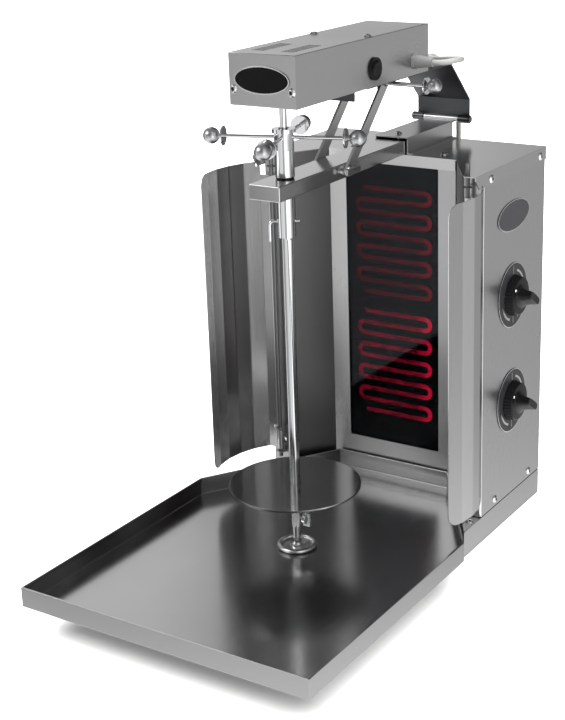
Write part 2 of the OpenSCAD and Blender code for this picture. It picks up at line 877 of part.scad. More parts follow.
// Tube of diameter d swept along the points p
function along(p, i) = unit(p[min(i + 1, len(p) - 1)] - p[max(i - 1, 0)]);
function frame_up(t) = abs(t[2]) > 0.9 ? [1, 0, 0] : [0, 0, 1];
function ring_side(p, i) = i == 0 ? unit(cross(along(p, 0), frame_up(along(p, 0)))) :
  let(s = ring_side(p, i - 1), t = along(p, i)) unit(s - t * (s * t));
function ring(p, i, d, n) = let(t = along(p, i), u = ring_side(p, i), w = cross(t, u))
  [for (k = [0:n - 1]) p[i] + d / 2 * (u * cos(360 * k / n) + w * sin(360 * k / n))];
module tube(p, d, n) {
  rings = len(p);
  points = [for (i = [0:rings - 1]) each ring(p, i, d, n)];
  walls = [for (i = [0:rings - 2], k = [0:n - 1]) let(a = i * n + k, b = i * n + (k + 1) % n)
    each [[a, b, b + n], [a, b + n, a + n]]];
  first = [for (k = [1:n - 2]) [0, k + 1, k]];
  last = [for (k = [1:n - 2]) (rings - 1) * n * [1, 1, 1] + [0, k, k + 1]];
  polyhedron(points, concat(walls, first, last));
}

module drive_cable() {
  color("gainsboro") tube(cable_route, cable_d, cable_sides);
}

module side_badge() {
  color([0.25, 0.25, 0.27]) translate([0, side_badge_y, side_badge_z])
    along_x(half_w, badge_t) polygon(ellipse(side_badge_l / 2, side_badge_h / 2));
}

module cover_screws() {
  color("silver") {
    for (p = cover_screw_yz) both_sides() on_right(p[0], p[1], half_w + sheet) pan_screw();
    both_sides() translate([cover_top_x, cover_top_y, cover_z]) pan_screw();
    translate([0, tunnel_screw_y, cover_z + tunnel_h]) pan_screw(l = tunnel_h - arm_h);
  }
}

module panel_screws() {
  color("silver") {
    for (p = panel_screw_yz) both_sides() on_right(p[0], p[1]) pan_screw();
    both_sides() translate([horn_screw_x, horn_screw_y, plinth_h]) pan_screw();
    both_sides() translate([rod_x, -bracket_t, bracket_screw_z]) rotate([90, 0, 0])
      pan_screw(h = low_head_h, l = short_shank_l);
  }
}

module spit_foot() {
  r = foot_d / 2;
  color("silver") translate([0, spit_y, floor_z]) difference() {
    union() {
      rotate_extrude() polygon([
        [0, 0], [r - foot_round, 0], [r, foot_round], [r, foot_h - foot_round],
        [r - foot_round, foot_h], [r - foot_ring_w, foot_h],
        [r - foot_ring_w, foot_plate_t], [0, foot_plate_t]
      ]);
      cylinder(d = foot_boss_d, h = foot_boss_h);
    }
    translate([0, 0, foot_plate_t]) cylinder(d = bar_w + 2 * run_fit, h = foot_boss_h);
  }
}

module hinge_pin() {
  l = mid_knuckle_w + 2 * (end_knuckle_w + gap) + 2 * gap;
  color("silver") {
    rod_x(-l / 2 - over, pin_back, hinge_z, hinge_d, l + 2 * over);
    both_sides() rod_x(l / 2, pin_back, hinge_z, mid_knuckle_d, over);
  }
}

module tray() {
  inner = inset(tray_plan, tray_t);
  color("gray") translate([0, 0, tray_z]) {
    linear_extrude(tray_t) polygon(tray_plan);
    translate([0, 0, tray_t]) linear_extrude(tray_h - tray_t) difference() {
      polygon(tray_plan);
      polygon(inner);
    }
    translate([0, 0, tray_h - hem_h]) linear_extrude(hem_h) difference() {
      polygon(tray_plan);
      polygon(inset(tray_plan, 2 * tray_t));
    }
  }
}

module knob(z) {
  base = half_w + dial_t + gap;
  grip_h = grip_out - dial_t - gap;
  on_right(knob_back, z, base) color([0.07, 0.07, 0.07]) difference() {
    union() {
      cylinder(d1 = knob_d, d2 = skirt_top_d, h = skirt_h);
      rotate([0, 0, grip_turn]) intersection() {
        translate([0, grip_l / 2, 0]) rotate([90, 0, 0]) linear_extrude(grip_l) polygon([
          [-grip_base_w / 2, 0], [grip_base_w / 2, 0], [grip_tip_w / 2, grip_h], [-grip_tip_w / 2, grip_h]
        ]);
        cylinder(d1 = grip_l, d2 = grip_l - 2 * grip_tip_w, h = grip_h);
      }
    }
    translate([0, 0, -over]) cylinder(d = spindle_d + 2 * run_fit, h = spindle_out + over);
  }
}

module upper_knob() {
  knob(upper_knob_z);
}

module lower_knob() {
  knob(lower_knob_z);
}

module tilt_plate() {
  color([0.3, 0.31, 0.33]) difference() {
    union() {
      along_x(-plate_w / 2, plate_w) polygon(strip([
        [plate_back, hinge_z], [plate_back, plate_bend_z],
        [plate_back - box_z + plate_bend_z, box_z], [plate_front, box_z]
      ], plate_t));
      translate([-lip_w / 2, plate_front, box_z - lip_h]) cube([lip_w, plate_t, lip_h]);
      both_sides() rod_x(mid_knuckle_w / 2 + gap, pin_back, hinge_z, end_knuckle_d, end_knuckle_w);
    }
    rod_x(-plate_w, pin_back, hinge_z, hinge_d + 2 * run_fit, 2 * plate_w);
  }
}

module lock_lug() {
  top = box_z - plate_t;
  color([0.3, 0.31, 0.33]) difference() {
    along_y(lug_front, lug_w) polygon(strip([
      [-lug_x, top - lug_drop], [-lug_x, top - lug_sheet],
      [lug_x, top - lug_sheet], [lug_x, top - lug_drop]
    ], lug_sheet));
    rod_x(-2 * lug_x, lock_y, lock_z, lock_d + 2 * run_fit, 4 * lug_x);
    translate([-lug_x + lug_sheet, lock_y - lock_d, top - lug_sheet - over])
      cube([2 * (lug_x - lug_sheet), 2 * lock_d, lug_sheet + 2 * over]);
  }
}

module drive_base() {
  half = box_w / 2 - box_t;
  front = box_front + box_t;
  back = box_back - box_t;
  color("gray") difference() {
    union() {
      translate([-half, front, box_z]) cube([2 * half, back - front, box_t]);
      for (y = [front, back - box_t]) translate([-half, y, box_z])
        cube([2 * half, box_t, base_flange + box_t]);
    }
    translate([0, spit_y, box_z - over]) cylinder(d = boss_d + gap, h = box_t + 2 * over);
  }
}

module drive_hood() {
  half = box_w / 2;
  color("gainsboro") difference() {
    translate([-half, box_front, box_z]) cube([box_w, box_l, box_h]);
    translate([box_t - half, box_front + box_t, box_z - over])
      cube([box_w - 2 * box_t, box_l - 2 * box_t, box_h - box_t + over]);
    for (i = [0:hood_vent_n - 1]) both_sides()
      translate([hood_vent_x, hood_vent_front + i * hood_vent_pitch, box_top - box_t - over])
        translate([-hood_vent_l / 2, 0, 0]) cube([hood_vent_l, hood_vent_w, box_t + 2 * over]);
    on_right(switch_y, switch_z, half) hole(switch_hole + box_t);
    on_right(gland_y, gland_z, half) hole(cable_d);
    both_sides() translate([front_screw_x, box_front, front_screw_z]) rotate([90, 0, 0]) hole();
    both_sides() translate([top_screw_x, top_screw_y, box_top]) hole();
  }
}

module gearbox() {
  color("dimgray") difference() {
    union() {
      translate([-gear_w / 2, gear_front, box_z + box_t]) cube([gear_w, gear_l, gear_h]);
      translate([0, spit_y, box_z]) cylinder(d = boss_d, h = box_t);
    }
    translate([0, spit_y, box_z - over])
      cylinder(d = shaft_d + 2 * run_fit, h = over + box_t + shaft_in + gap);
  }
}

module motor() {
  front = gear_front + gear_l;
  z = box_z + motor_rise;
  color("silver") {
    rod_y(0, front, z, motor_d, motor_l);
    rod_y(0, front + motor_l, z, motor_d / 2, box_t);
  }
}

module drive_screws() {
  color("silver") {
    both_sides() translate([front_screw_x, box_front, front_screw_z]) rotate([90, 0, 0])
      pan_screw(l = box_t);
    both_sides() translate([top_screw_x, top_screw_y, box_top]) pan_screw(l = shank_l);
  }
}

module drive_badge() {
  color([0.25, 0.25, 0.27]) translate([0, 0, badge_z])
    along_y(box_front - badge_t, badge_t) polygon(ellipse(badge_w / 2, badge_h / 2));
}

switch_mid = box_w / 2 - run_fit;

module switch_body() {
  color([0.08, 0.08, 0.08]) difference() {
    union() {
      on_right(switch_y, switch_z, box_w / 2) cylinder(d = switch_d, h = switch_lip);
      on_right(switch_y, switch_z, box_w / 2 - switch_depth)
        cylinder(d = switch_hole + box_t, h = switch_depth);
    }
    on_right(switch_y, switch_z, box_w / 2 - switch_hole / 2)
      cylinder(d = switch_hole, h = switch_hole);
    rod_y(switch_mid, switch_y - trunnion_l / 2 - run_fit, switch_z,
      trunnion_d + 2 * run_fit, trunnion_l + 2 * run_fit);
  }
}

module switch_rocker() {
  color([0.05, 0.05, 0.05]) translate([switch_mid, switch_y, switch_z])
    rotate([0, rocker_tilt, 0]) {
      rotate([0, 90, 0]) rotate_extrude() intersection() {
        circle(d = rocker_d);
        translate([0, -rocker_in]) square([rocker_d, rocker_in + rocker_out]);
      }
      rod_y(0, -trunnion_l / 2, 0, trunnion_d, trunnion_l);
    }
}

module lock_rod() {
  color("silver") {
    rod_x(lock_left, lock_y, lock_z, lock_d, lock_ball_x - lock_left);
    rod_x(lock_disc_x, lock_y, lock_z, lock_disc_d, lock_disc_t);
  }
}

module lock_ball() {
  color("whitesmoke") difference() {
    translate([lock_ball_x, lock_y, lock_z]) sphere(d = lock_ball_d);
    rod_x(lock_ball_x - lock_ball_d, lock_y, lock_z, lock_d + 2 * run_fit, lock_ball_d + run_fit);
  }
}

module output_shaft() {
  color("silver") {
    translate([0, spit_y, shaft_low]) cylinder(d = shaft_d, h = box_z + box_t + shaft_in - shaft_low);
    rod_y(0, spit_y - shaft_pin_l / 2, shaft_pin_z, shaft_pin_d, shaft_pin_l);
  }
}

// Places children at the four rods of the cross handle, pointing outwards
module cross_places() {
  for (i = [0:3]) translate([0, spit_y, handle_z]) rotate([0, 0, handle_angle + 90 * i]) rotate([0, 90, 0])
    children();
}

module pin_place() {
  translate([0, spit_y, pin_z]) rotate([0, 0, pin_angle]) rotate([0, 90, 0]) children();
}

module spit_sleeve() {
  low = arm_z - gap - lower_sleeve_l;
  color("silver") difference() {
    translate([0, spit_y, 0]) {
      translate([0, 0, low]) cylinder(d = sleeve_d, h = lower_sleeve_l);
      translate([0, 0, low]) cylinder(d = neck_d, h = upper_sleeve_z - low);
      translate([0, 0, upper_sleeve_z]) cylinder(d = upper_sleeve_d, h = cap_z - upper_sleeve_z);
      translate([0, 0, cap_z]) cylinder(d = cap_d, h = cap_h);
    }
    translate([0, spit_y, low - over]) cylinder(d = bar_w + 2 * run_fit, h = spigot_l + over + gap);
    translate([0, spit_y, cap_z - sleeve_bore_l])
      cylinder(d = sleeve_bore_d, h = sleeve_bore_l + cap_h + over);
    translate([-slot_w / 2, spit_y - slot_l / 2, cap_z]) cube([slot_w, slot_l, cap_h + over]);
    cross_places() cylinder(d = handle_rod_d + 2 * run_fit, h = handle_reach);
    pin_place() translate([0, 0, -sleeve_d]) cylinder(d = pin_d + 4 * run_fit, h = 2 * sleeve_d);
    for (i = [0:3]) translate([0, spit_y, flat_low]) rotate([0, 0, handle_angle + 45 + 90 * i])
      translate([upper_sleeve_d / 2 - flat_cut, -sleeve_d / 2, 0])
        cube([sleeve_d, sleeve_d, flat_l]);
  }
}

module cross_rods() {
  color("silver") cross_places() {
    translate([0, 0, handle_root]) cylinder(d = handle_rod_d, h = handle_reach - handle_root);
    translate([0, 0, handle_disc_reach - handle_disc_t]) cylinder(d = handle_disc_d, h = handle_disc_t);
  }
}

module cross_balls() {
  color("whitesmoke") cross_places() difference() {
    translate([0, 0, handle_reach]) sphere(d = handle_ball_d);
    cylinder(d = handle_rod_d + 2 * run_fit, h = handle_reach + run_fit);
  }
}

module spit_shaft() {
  low = floor_z + foot_plate_t + gap;
  high = arm_z - gap - lower_sleeve_l;
  color("silver") difference() {
    translate([0, spit_y, 0]) {
      translate([-bar_w / 2, -bar_w / 2, bar_low]) cube([bar_w, bar_w, high - gap - bar_low]);
      translate([0, 0, low]) cylinder(d = bar_w, h = high + spigot_l - low);
    }
    pin_place() translate([0, 0, -sleeve_d]) cylinder(d = pin_d + 4 * run_fit, h = 2 * sleeve_d);
    for (z = bar_holes) rod_x(-bar_w, spit_y, z, hole_d, 2 * bar_w);
  }
}

module bar_hole(z, h) {
  w = bar_w + 2 * bar_fit;
  translate([-w / 2, spit_y - w / 2, z - over]) cube([w, w, h + 2 * over]);
}

module meat_disc() {
  color("lightgray") difference() {
    translate([0, spit_y, disc_z - disc_t]) cylinder(d = disc_d, h = disc_t, $fn = 96);
    bar_hole(disc_z - disc_t, disc_t);
  }
}

module disc_hub() {
  high = disc_z - disc_t;
  color("silver") difference() {
    union() {
      translate([0, spit_y, high - hub_h]) cylinder(d = hub_d, h = hub_h);
      translate([0, spit_y - block_w / 2, block_low]) cube([block_x, block_w, high - block_low]);
    }
    bar_hole(block_low, high - block_low);
    rod_x(0, spit_y, thumb_z, thumb_d + 2 * run_fit, 2 * block_x);
  }
}

module thumb_screws() {
  reach = bar_w / 2 + gap;
  color("silver") {
    rod_x(reach, spit_y, thumb_z, thumb_d, block_x + thumb_head_t + gap - reach);
    rod_x(block_x + gap, spit_y, thumb_z, thumb_head_d, thumb_head_t);
    translate([block_x + gap, spit_y - thumb_d / 2, thumb_z - thumb_wing_l / 2])
      cube([thumb_head_t * 2, thumb_d, thumb_wing_l]);
  }
}

module spit_pin() {
  color("silver") {
    pin_place() translate([0, 0, -pin_out]) cylinder(d = pin_d, h = 2 * pin_out);
    translate([0, spit_y, pin_z]) rotate([0, 0, pin_angle]) {
      translate([-pin_out, 0, -pin_bend]) rotate([90, 0, 0]) rotate([0, 0, 90])
        rotate_extrude(angle = 90) translate([pin_bend, 0]) circle(d = pin_d);
      translate([-pin_out - pin_bend, 0, -pin_drop]) cylinder(d = pin_d, h = pin_drop - pin_bend);
    }
  }
}

base_plate();
plinth();
tray_runners();
right_side_panel();
left_side_panel();
rear_panel();
splay_plates();
heater_frame();
heater_glass();
upper_element();
lower_element();
insulation_board();
reflector_pan();
top_cover();
arm_tunnel();
arm();
arm_bush();
stays();
stay_clamp();
wing_rods();
wing_brackets();
dial_plates();
regulators();
terminal_block();
mains_gland();
cable_gland();
drive_cable();
side_badge();
cover_screws();
panel_screws();
spit_foot();
hinge_pin();
tray();
left_wing();
right_wing();
upper_knob();
lower_knob();
tilt_plate();
lock_lug();
drive_base();
drive_hood();
gearbox();
motor();
drive_screws();
drive_badge();
switch_body();
drive_gland();
switch_rocker();
lock_rod();
lock_ball();
output_shaft();
spit_sleeve();
cross_rods();
cross_balls();
spit_shaft();
meat_disc();
disc_hub();
thumb_screws();
spit_pin();
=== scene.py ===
"""Doner kebab grill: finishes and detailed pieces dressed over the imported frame."""

import json
import math

import bmesh
import bpy
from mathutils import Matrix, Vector


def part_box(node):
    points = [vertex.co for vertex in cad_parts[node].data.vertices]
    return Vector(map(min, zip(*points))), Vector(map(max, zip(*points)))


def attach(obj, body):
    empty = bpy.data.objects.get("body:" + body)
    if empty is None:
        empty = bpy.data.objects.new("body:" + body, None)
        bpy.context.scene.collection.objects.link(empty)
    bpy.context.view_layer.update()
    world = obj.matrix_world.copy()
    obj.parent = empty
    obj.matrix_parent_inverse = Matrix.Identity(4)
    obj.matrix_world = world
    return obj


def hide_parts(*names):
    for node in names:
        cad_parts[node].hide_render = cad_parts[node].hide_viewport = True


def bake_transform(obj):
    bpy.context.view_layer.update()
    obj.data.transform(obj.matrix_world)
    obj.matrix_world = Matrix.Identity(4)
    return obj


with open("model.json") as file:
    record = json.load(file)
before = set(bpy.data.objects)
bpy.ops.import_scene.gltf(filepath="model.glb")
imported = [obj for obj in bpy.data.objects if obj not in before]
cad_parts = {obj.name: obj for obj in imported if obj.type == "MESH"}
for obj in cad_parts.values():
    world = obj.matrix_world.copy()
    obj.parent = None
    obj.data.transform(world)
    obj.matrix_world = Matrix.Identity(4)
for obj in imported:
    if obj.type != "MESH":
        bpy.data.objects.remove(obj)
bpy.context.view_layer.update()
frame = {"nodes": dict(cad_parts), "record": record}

bl_info = {
    "name": "Doner Kebab Grill",
    "version": (1, 0, 0),
    "blender": (4, 5, 0),
    "location": "View3D > Sidebar > Kebab Grill",
    "description": "Dresses the grill's solids with sheet metal, chrome, glass and plastic",
    "category": "Object",
}

# A millimetre in metres
MM = 0.001
# The body that carries each CAD node
BODY_OF = {
    node: body
    for body, nodes in frame["record"]["behaviour"]["bodies"].items()
    for node in nodes
}


def linear(hex_colour):
    """Turns an sRGB hex value into the linear colour that a shader socket takes."""
    parts = [int(hex_colour[i : i + 2], 16) / 255 for i in (1, 3, 5)]
    return tuple(
        c / 12.92 if c <= 0.04045 else ((c + 0.055) / 1.055) ** 2.4 for c in parts
    )


# Sizes and colours that a user would change


class KebabSizes(bpy.types.PropertyGroup):
    """Sizes of the grill's bends, corners, balls and cable, and of the floor"""

    bend_radius: bpy.props.FloatProperty(
        name="Bend Radius", default=0.0012, min=0.0003, max=0.003, unit="LENGTH",
        description="Outer radius where the sheet metal is folded",
    )
    rim_radius: bpy.props.FloatProperty(
        name="Rim Radius", default=0.00025, min=0.0001, max=0.0008, unit="LENGTH",
        description="Rounding of cut sheet edges and machined corners",
    )
    facet_radius: bpy.props.FloatProperty(
        name="Facet Radius", default=0.0014, min=0.0005, max=0.004, unit="LENGTH",
        description="Width of the soft line where two facets of a wing meet",
    )
    ball_diameter: bpy.props.FloatProperty(
        name="Ball Diameter", default=0.018, min=0.014, max=0.018, unit="LENGTH",
        description="Diameter of the cross handle's balls",
    )
    cable_diameter: bpy.props.FloatProperty(
        name="Cable Diameter", default=0.0065, min=0.005, max=0.0065, unit="LENGTH",
        description="Outer diameter of the drive's cable",
    )
    floor_size: bpy.props.FloatProperty(
        name="Floor Size", default=60.0, min=10.0, max=100.0, unit="LENGTH",
        description="Width of the studio floor",
    )


class KebabColours(bpy.types.PropertyGroup):
    """Colours of the grill's metals, glow, plastic and cable, and of the floor"""

    steel: bpy.props.FloatVectorProperty(
        name="Steel", default=linear("#c4c4c4"), min=0.0, max=1.0, subtype="COLOR",
        description="Colour that the stainless steel gives its reflections",
    )
    chrome: bpy.props.FloatVectorProperty(
        name="Chrome", default=linear("#d9dadb"), min=0.0, max=1.0, subtype="COLOR",
        description="Colour of the chromed balls, rods and screws",
    )
    glow: bpy.props.FloatVectorProperty(
        name="Glow", default=linear("#ff225c"), min=0.0, max=1.0, subtype="COLOR",
        description="Colour of the hottest stretches of the elements",
    )
    plastic: bpy.props.FloatVectorProperty(
        name="Plastic", default=linear("#080809"), min=0.0, max=1.0, subtype="COLOR",
        description="Colour of the knobs and the switch",
    )
    cable: bpy.props.FloatVectorProperty(
        name="Cable", default=linear("#7c7c7a"), min=0.0, max=1.0, subtype="COLOR",
        description="Colour of the cable's sheath",
    )
    floor: bpy.props.FloatVectorProperty(
        name="Floor", default=linear("#f8f8f7"), min=0.0, max=1.0, subtype="COLOR",
        description="Colour of the studio floor",
    )


# Materials

MATERIALS = {}
# Nearly all the values of a noise lie between these two
NOISE_LOW, NOISE_HIGH = 0.3, 0.7
# A polishing line is this many times as long as it is wide
LINE_RATIO = 30
# How much darker and brighter a grain's colour gets across it
GRAIN_TINT = (0.97, 1.02)
# Patches left by wiping and by moulding, in features for each metre
WIPED, CLOUDY, WIPED_GLASS = (9, 9, 9), (30, 30, 30), (14, 14, 14)
# The full height of a grain's and of a grit's bump, in metres
GRAIN_HEIGHT, GRIT_HEIGHT = 0.0002, 0.0001
# The strips run hotter from the first of these places along X to the second, in metres
RIGHT_BENDS = (0.03, 0.052)
# The share of the strips' glow that the steel round them mirrors
MIRRORED_GLOW = 0.2


def add(tree, kind, inputs=None, stops=None, **settings):
    """Adds a node with its settings, links the sockets among its inputs and sets the others."""
    node = tree.nodes.new("ShaderNode" + kind)
    for name, value in settings.items():
        setattr(node, name, value)
    if stops:
        ramp = node.color_ramp.elements
        while len(ramp) < len(stops):
            ramp.new(0.5)
        for element, (place, value) in zip(ramp, stops):
            element.position = place
            element.color = (*value, 1) if hasattr(value, "__len__") else (value,) * 3 + (1,)
    for name, value in (inputs or {}).items():
        if isinstance(value, bpy.types.NodeSocket):
            tree.links.new(value, node.inputs[name])
        else:
            node.inputs[name].default_value = value
    return node


def blank(name):
    """An empty material, and its tree."""
    found = bpy.data.materials.get(name)
    if found:
        bpy.data.materials.remove(found)
    material = bpy.data.materials.new(name)
    material.use_nodes = True
    material.node_tree.nodes.clear()
    return material, material.node_tree


def pattern(tree, scale, **inputs):
    """Noise over Object coordinates, with its scale in features for each metre of each axis."""
    place = add(tree, "TexCoord")
    stretched = add(tree, "Mapping", {"Vector": place.outputs["Object"], "Scale": scale})
    settings = {"Vector": stretched.outputs[0], "Scale": 1.0, "Detail": 3.0}
    return add(tree, "TexNoise", {**settings, **inputs})


def steel(name, along, colour, rough, spread, grain_mm, bump, cloud=0.05):
    """Metal with noise drawn out along its polishing direction, which scatters its gloss.

    Its roughness varies by spread along the grain, and by cloud where it was wiped.
    """
    material, tree = blank(name)
    scale = [1000 / grain_mm] * 3
    scale["XYZ".index(along)] = 1000 / (grain_mm * LINE_RATIO)
    grain = pattern(tree, scale, Detail=4.0, Roughness=0.6)
    wiped = pattern(tree, WIPED, Detail=2.0)
    # Roughness from the grain, and what wiping adds to it
    fine, hand = (
        add(tree, "MapRange", {
            "Value": noise.outputs["Fac"], "From Min": NOISE_LOW, "From Max": NOISE_HIGH,
            "To Min": middle - change, "To Max": middle + change,
        })
        for noise, middle, change in ((grain, rough, spread), (wiped, 0.0, cloud))
    )
    both = {0: fine.outputs[0], 1: hand.outputs[0]}
    gloss = add(tree, "Math", both, operation="ADD", use_clamp=True)
    tint = add(tree, "ValToRGB", {"Fac": grain.outputs["Fac"]}, stops=[
        (NOISE_LOW, [c * GRAIN_TINT[0] for c in colour]),
        (NOISE_HIGH, [min(1.0, c * GRAIN_TINT[1]) for c in colour]),
    ])
    height = add(tree, "Bump", {
        "Height": grain.outputs["Fac"], "Strength": bump, "Distance": GRAIN_HEIGHT,
    })
    shader = add(tree, "BsdfPrincipled", {
        "Base Color": tint.outputs["Color"], "Metallic": 1.0, "Roughness": gloss.outputs[0],
        "Normal": height.outputs[0],
    })
    add(tree, "OutputMaterial", {"Surface": shader.outputs[0]})
    return material


def moulded(name, colour, rough, grit_mm, bump, fleck=0.12, shine=0.5):
    """Moulded or painted surface: a fine grit in its gloss, and a slightly uneven colour."""
    material, tree = blank(name)
    grit = pattern(tree, (1000 / grit_mm,) * 3, Detail=2.0)
    cloud = pattern(tree, CLOUDY)
    tint = add(tree, "ValToRGB", {"Fac": cloud.outputs["Fac"]}, stops=[
        (0.35, [c * (1 - fleck) for c in colour]),
        (0.65, [min(1.0, c * (1 + fleck)) for c in colour]),
    ])
    gloss = add(tree, "MapRange", {
        "Value": cloud.outputs["Fac"], "From Min": NOISE_LOW, "From Max": NOISE_HIGH,
        "To Min": rough - 0.05, "To Max": rough + 0.05,
    })
    height = add(tree, "Bump", {
        "Height": grit.outputs["Fac"], "Strength": bump, "Distance": GRIT_HEIGHT,
    })
    shader = add(tree, "BsdfPrincipled", {
        "Base Color": tint.outputs["Color"], "Roughness": gloss.outputs[0], "IOR": 1.5,
        "Specular IOR Level": shine, "Normal": height.outputs[0],
    })
    add(tree, "OutputMaterial", {"Surface": shader.outputs[0]})
    return material


def ceramic_glass(name):
    """Tinted glass ceramic, float polished: black, but it lets the strips' red through."""
    material, tree = blank(name)
    wiped = pattern(tree, WIPED_GLASS, Detail=4.0)
    gloss = add(tree, "MapRange", {
        "Value": wiped.outputs["Fac"], "From Min": 0.4, "From Max": 0.75, "To Min": 0.02,
        "To Max": 0.07,
    })
    shader = add(tree, "BsdfPrincipled", {
        "Base Color": (*linear("#584549"), 1), "Roughness": gloss.outputs[0], "IOR": 1.52,
        "Transmission Weight": 1.0, "Specular IOR Level": 0.1,
        "Specular Tint": (0.26, 0.31, 0.33, 1.0),
    })
    add(tree, "OutputMaterial", {"Surface": shader.outputs[0]})
    return material


def glowing(name, hot, dull, strength, right, left):
    """Resistance strip at red heat: brightest in its right bends and mottled along its runs."""
    material, tree = blank(name)
    place = add(tree, "TexCoord")
    parts = add(tree, "SeparateXYZ", {0: place.outputs["Object"]})
    reach = add(tree, "MapRange", {
        "Value": parts.outputs["X"], "From Min": RIGHT_BENDS[0], "From Max": RIGHT_BENDS[1],
        "To Min": left, "To Max": right,
    })
    # Patches 9 mm long and 3 mm high, coarser than the real ones so that they show
    mottle = pattern(tree, (110, 110, 330), Detail=4.0, Roughness=0.7)
    patches = add(tree, "MapRange", {
        "Value": mottle.outputs["Fac"], "From Min": 0.38, "From Max": 0.66, "To Min": -0.12,
        "To Max": 0.3,
    })
    both = {0: reach.outputs[0], 1: patches.outputs[0]}
    heat = add(tree, "Math", both, operation="ADD", use_clamp=True)
    tint = add(tree, "ValToRGB", {"Fac": heat.outputs[0]}, stops=[(0.0, dull), (1.0, hot)])
    # The steel round the strips hardly shows their glow, so a mirrored ray gets a part of it
    path = add(tree, "LightPath")
    direct = add(tree, "Math", {0: path.outputs["Glossy Depth"], 1: 0.5}, operation="LESS_THAN")
    power = add(tree, "MapRange", {
        "Value": direct.outputs[0], "To Min": strength * MIRRORED_GLOW, "To Max": strength,
    })
    shader = add(tree, "BsdfPrincipled", {
        "Base Color": (*linear("#2a1512"), 1), "Roughness": 0.7,
        "Emission Color": tint.outputs["Color"], "Emission Strength": power.outputs[0],
    })
    add(tree, "OutputMaterial", {"Surface": shader.outputs[0]})
    return material


def shaded(colour, share):
    """A colour with a share of its brightness."""
    return [c * share for c in colour]


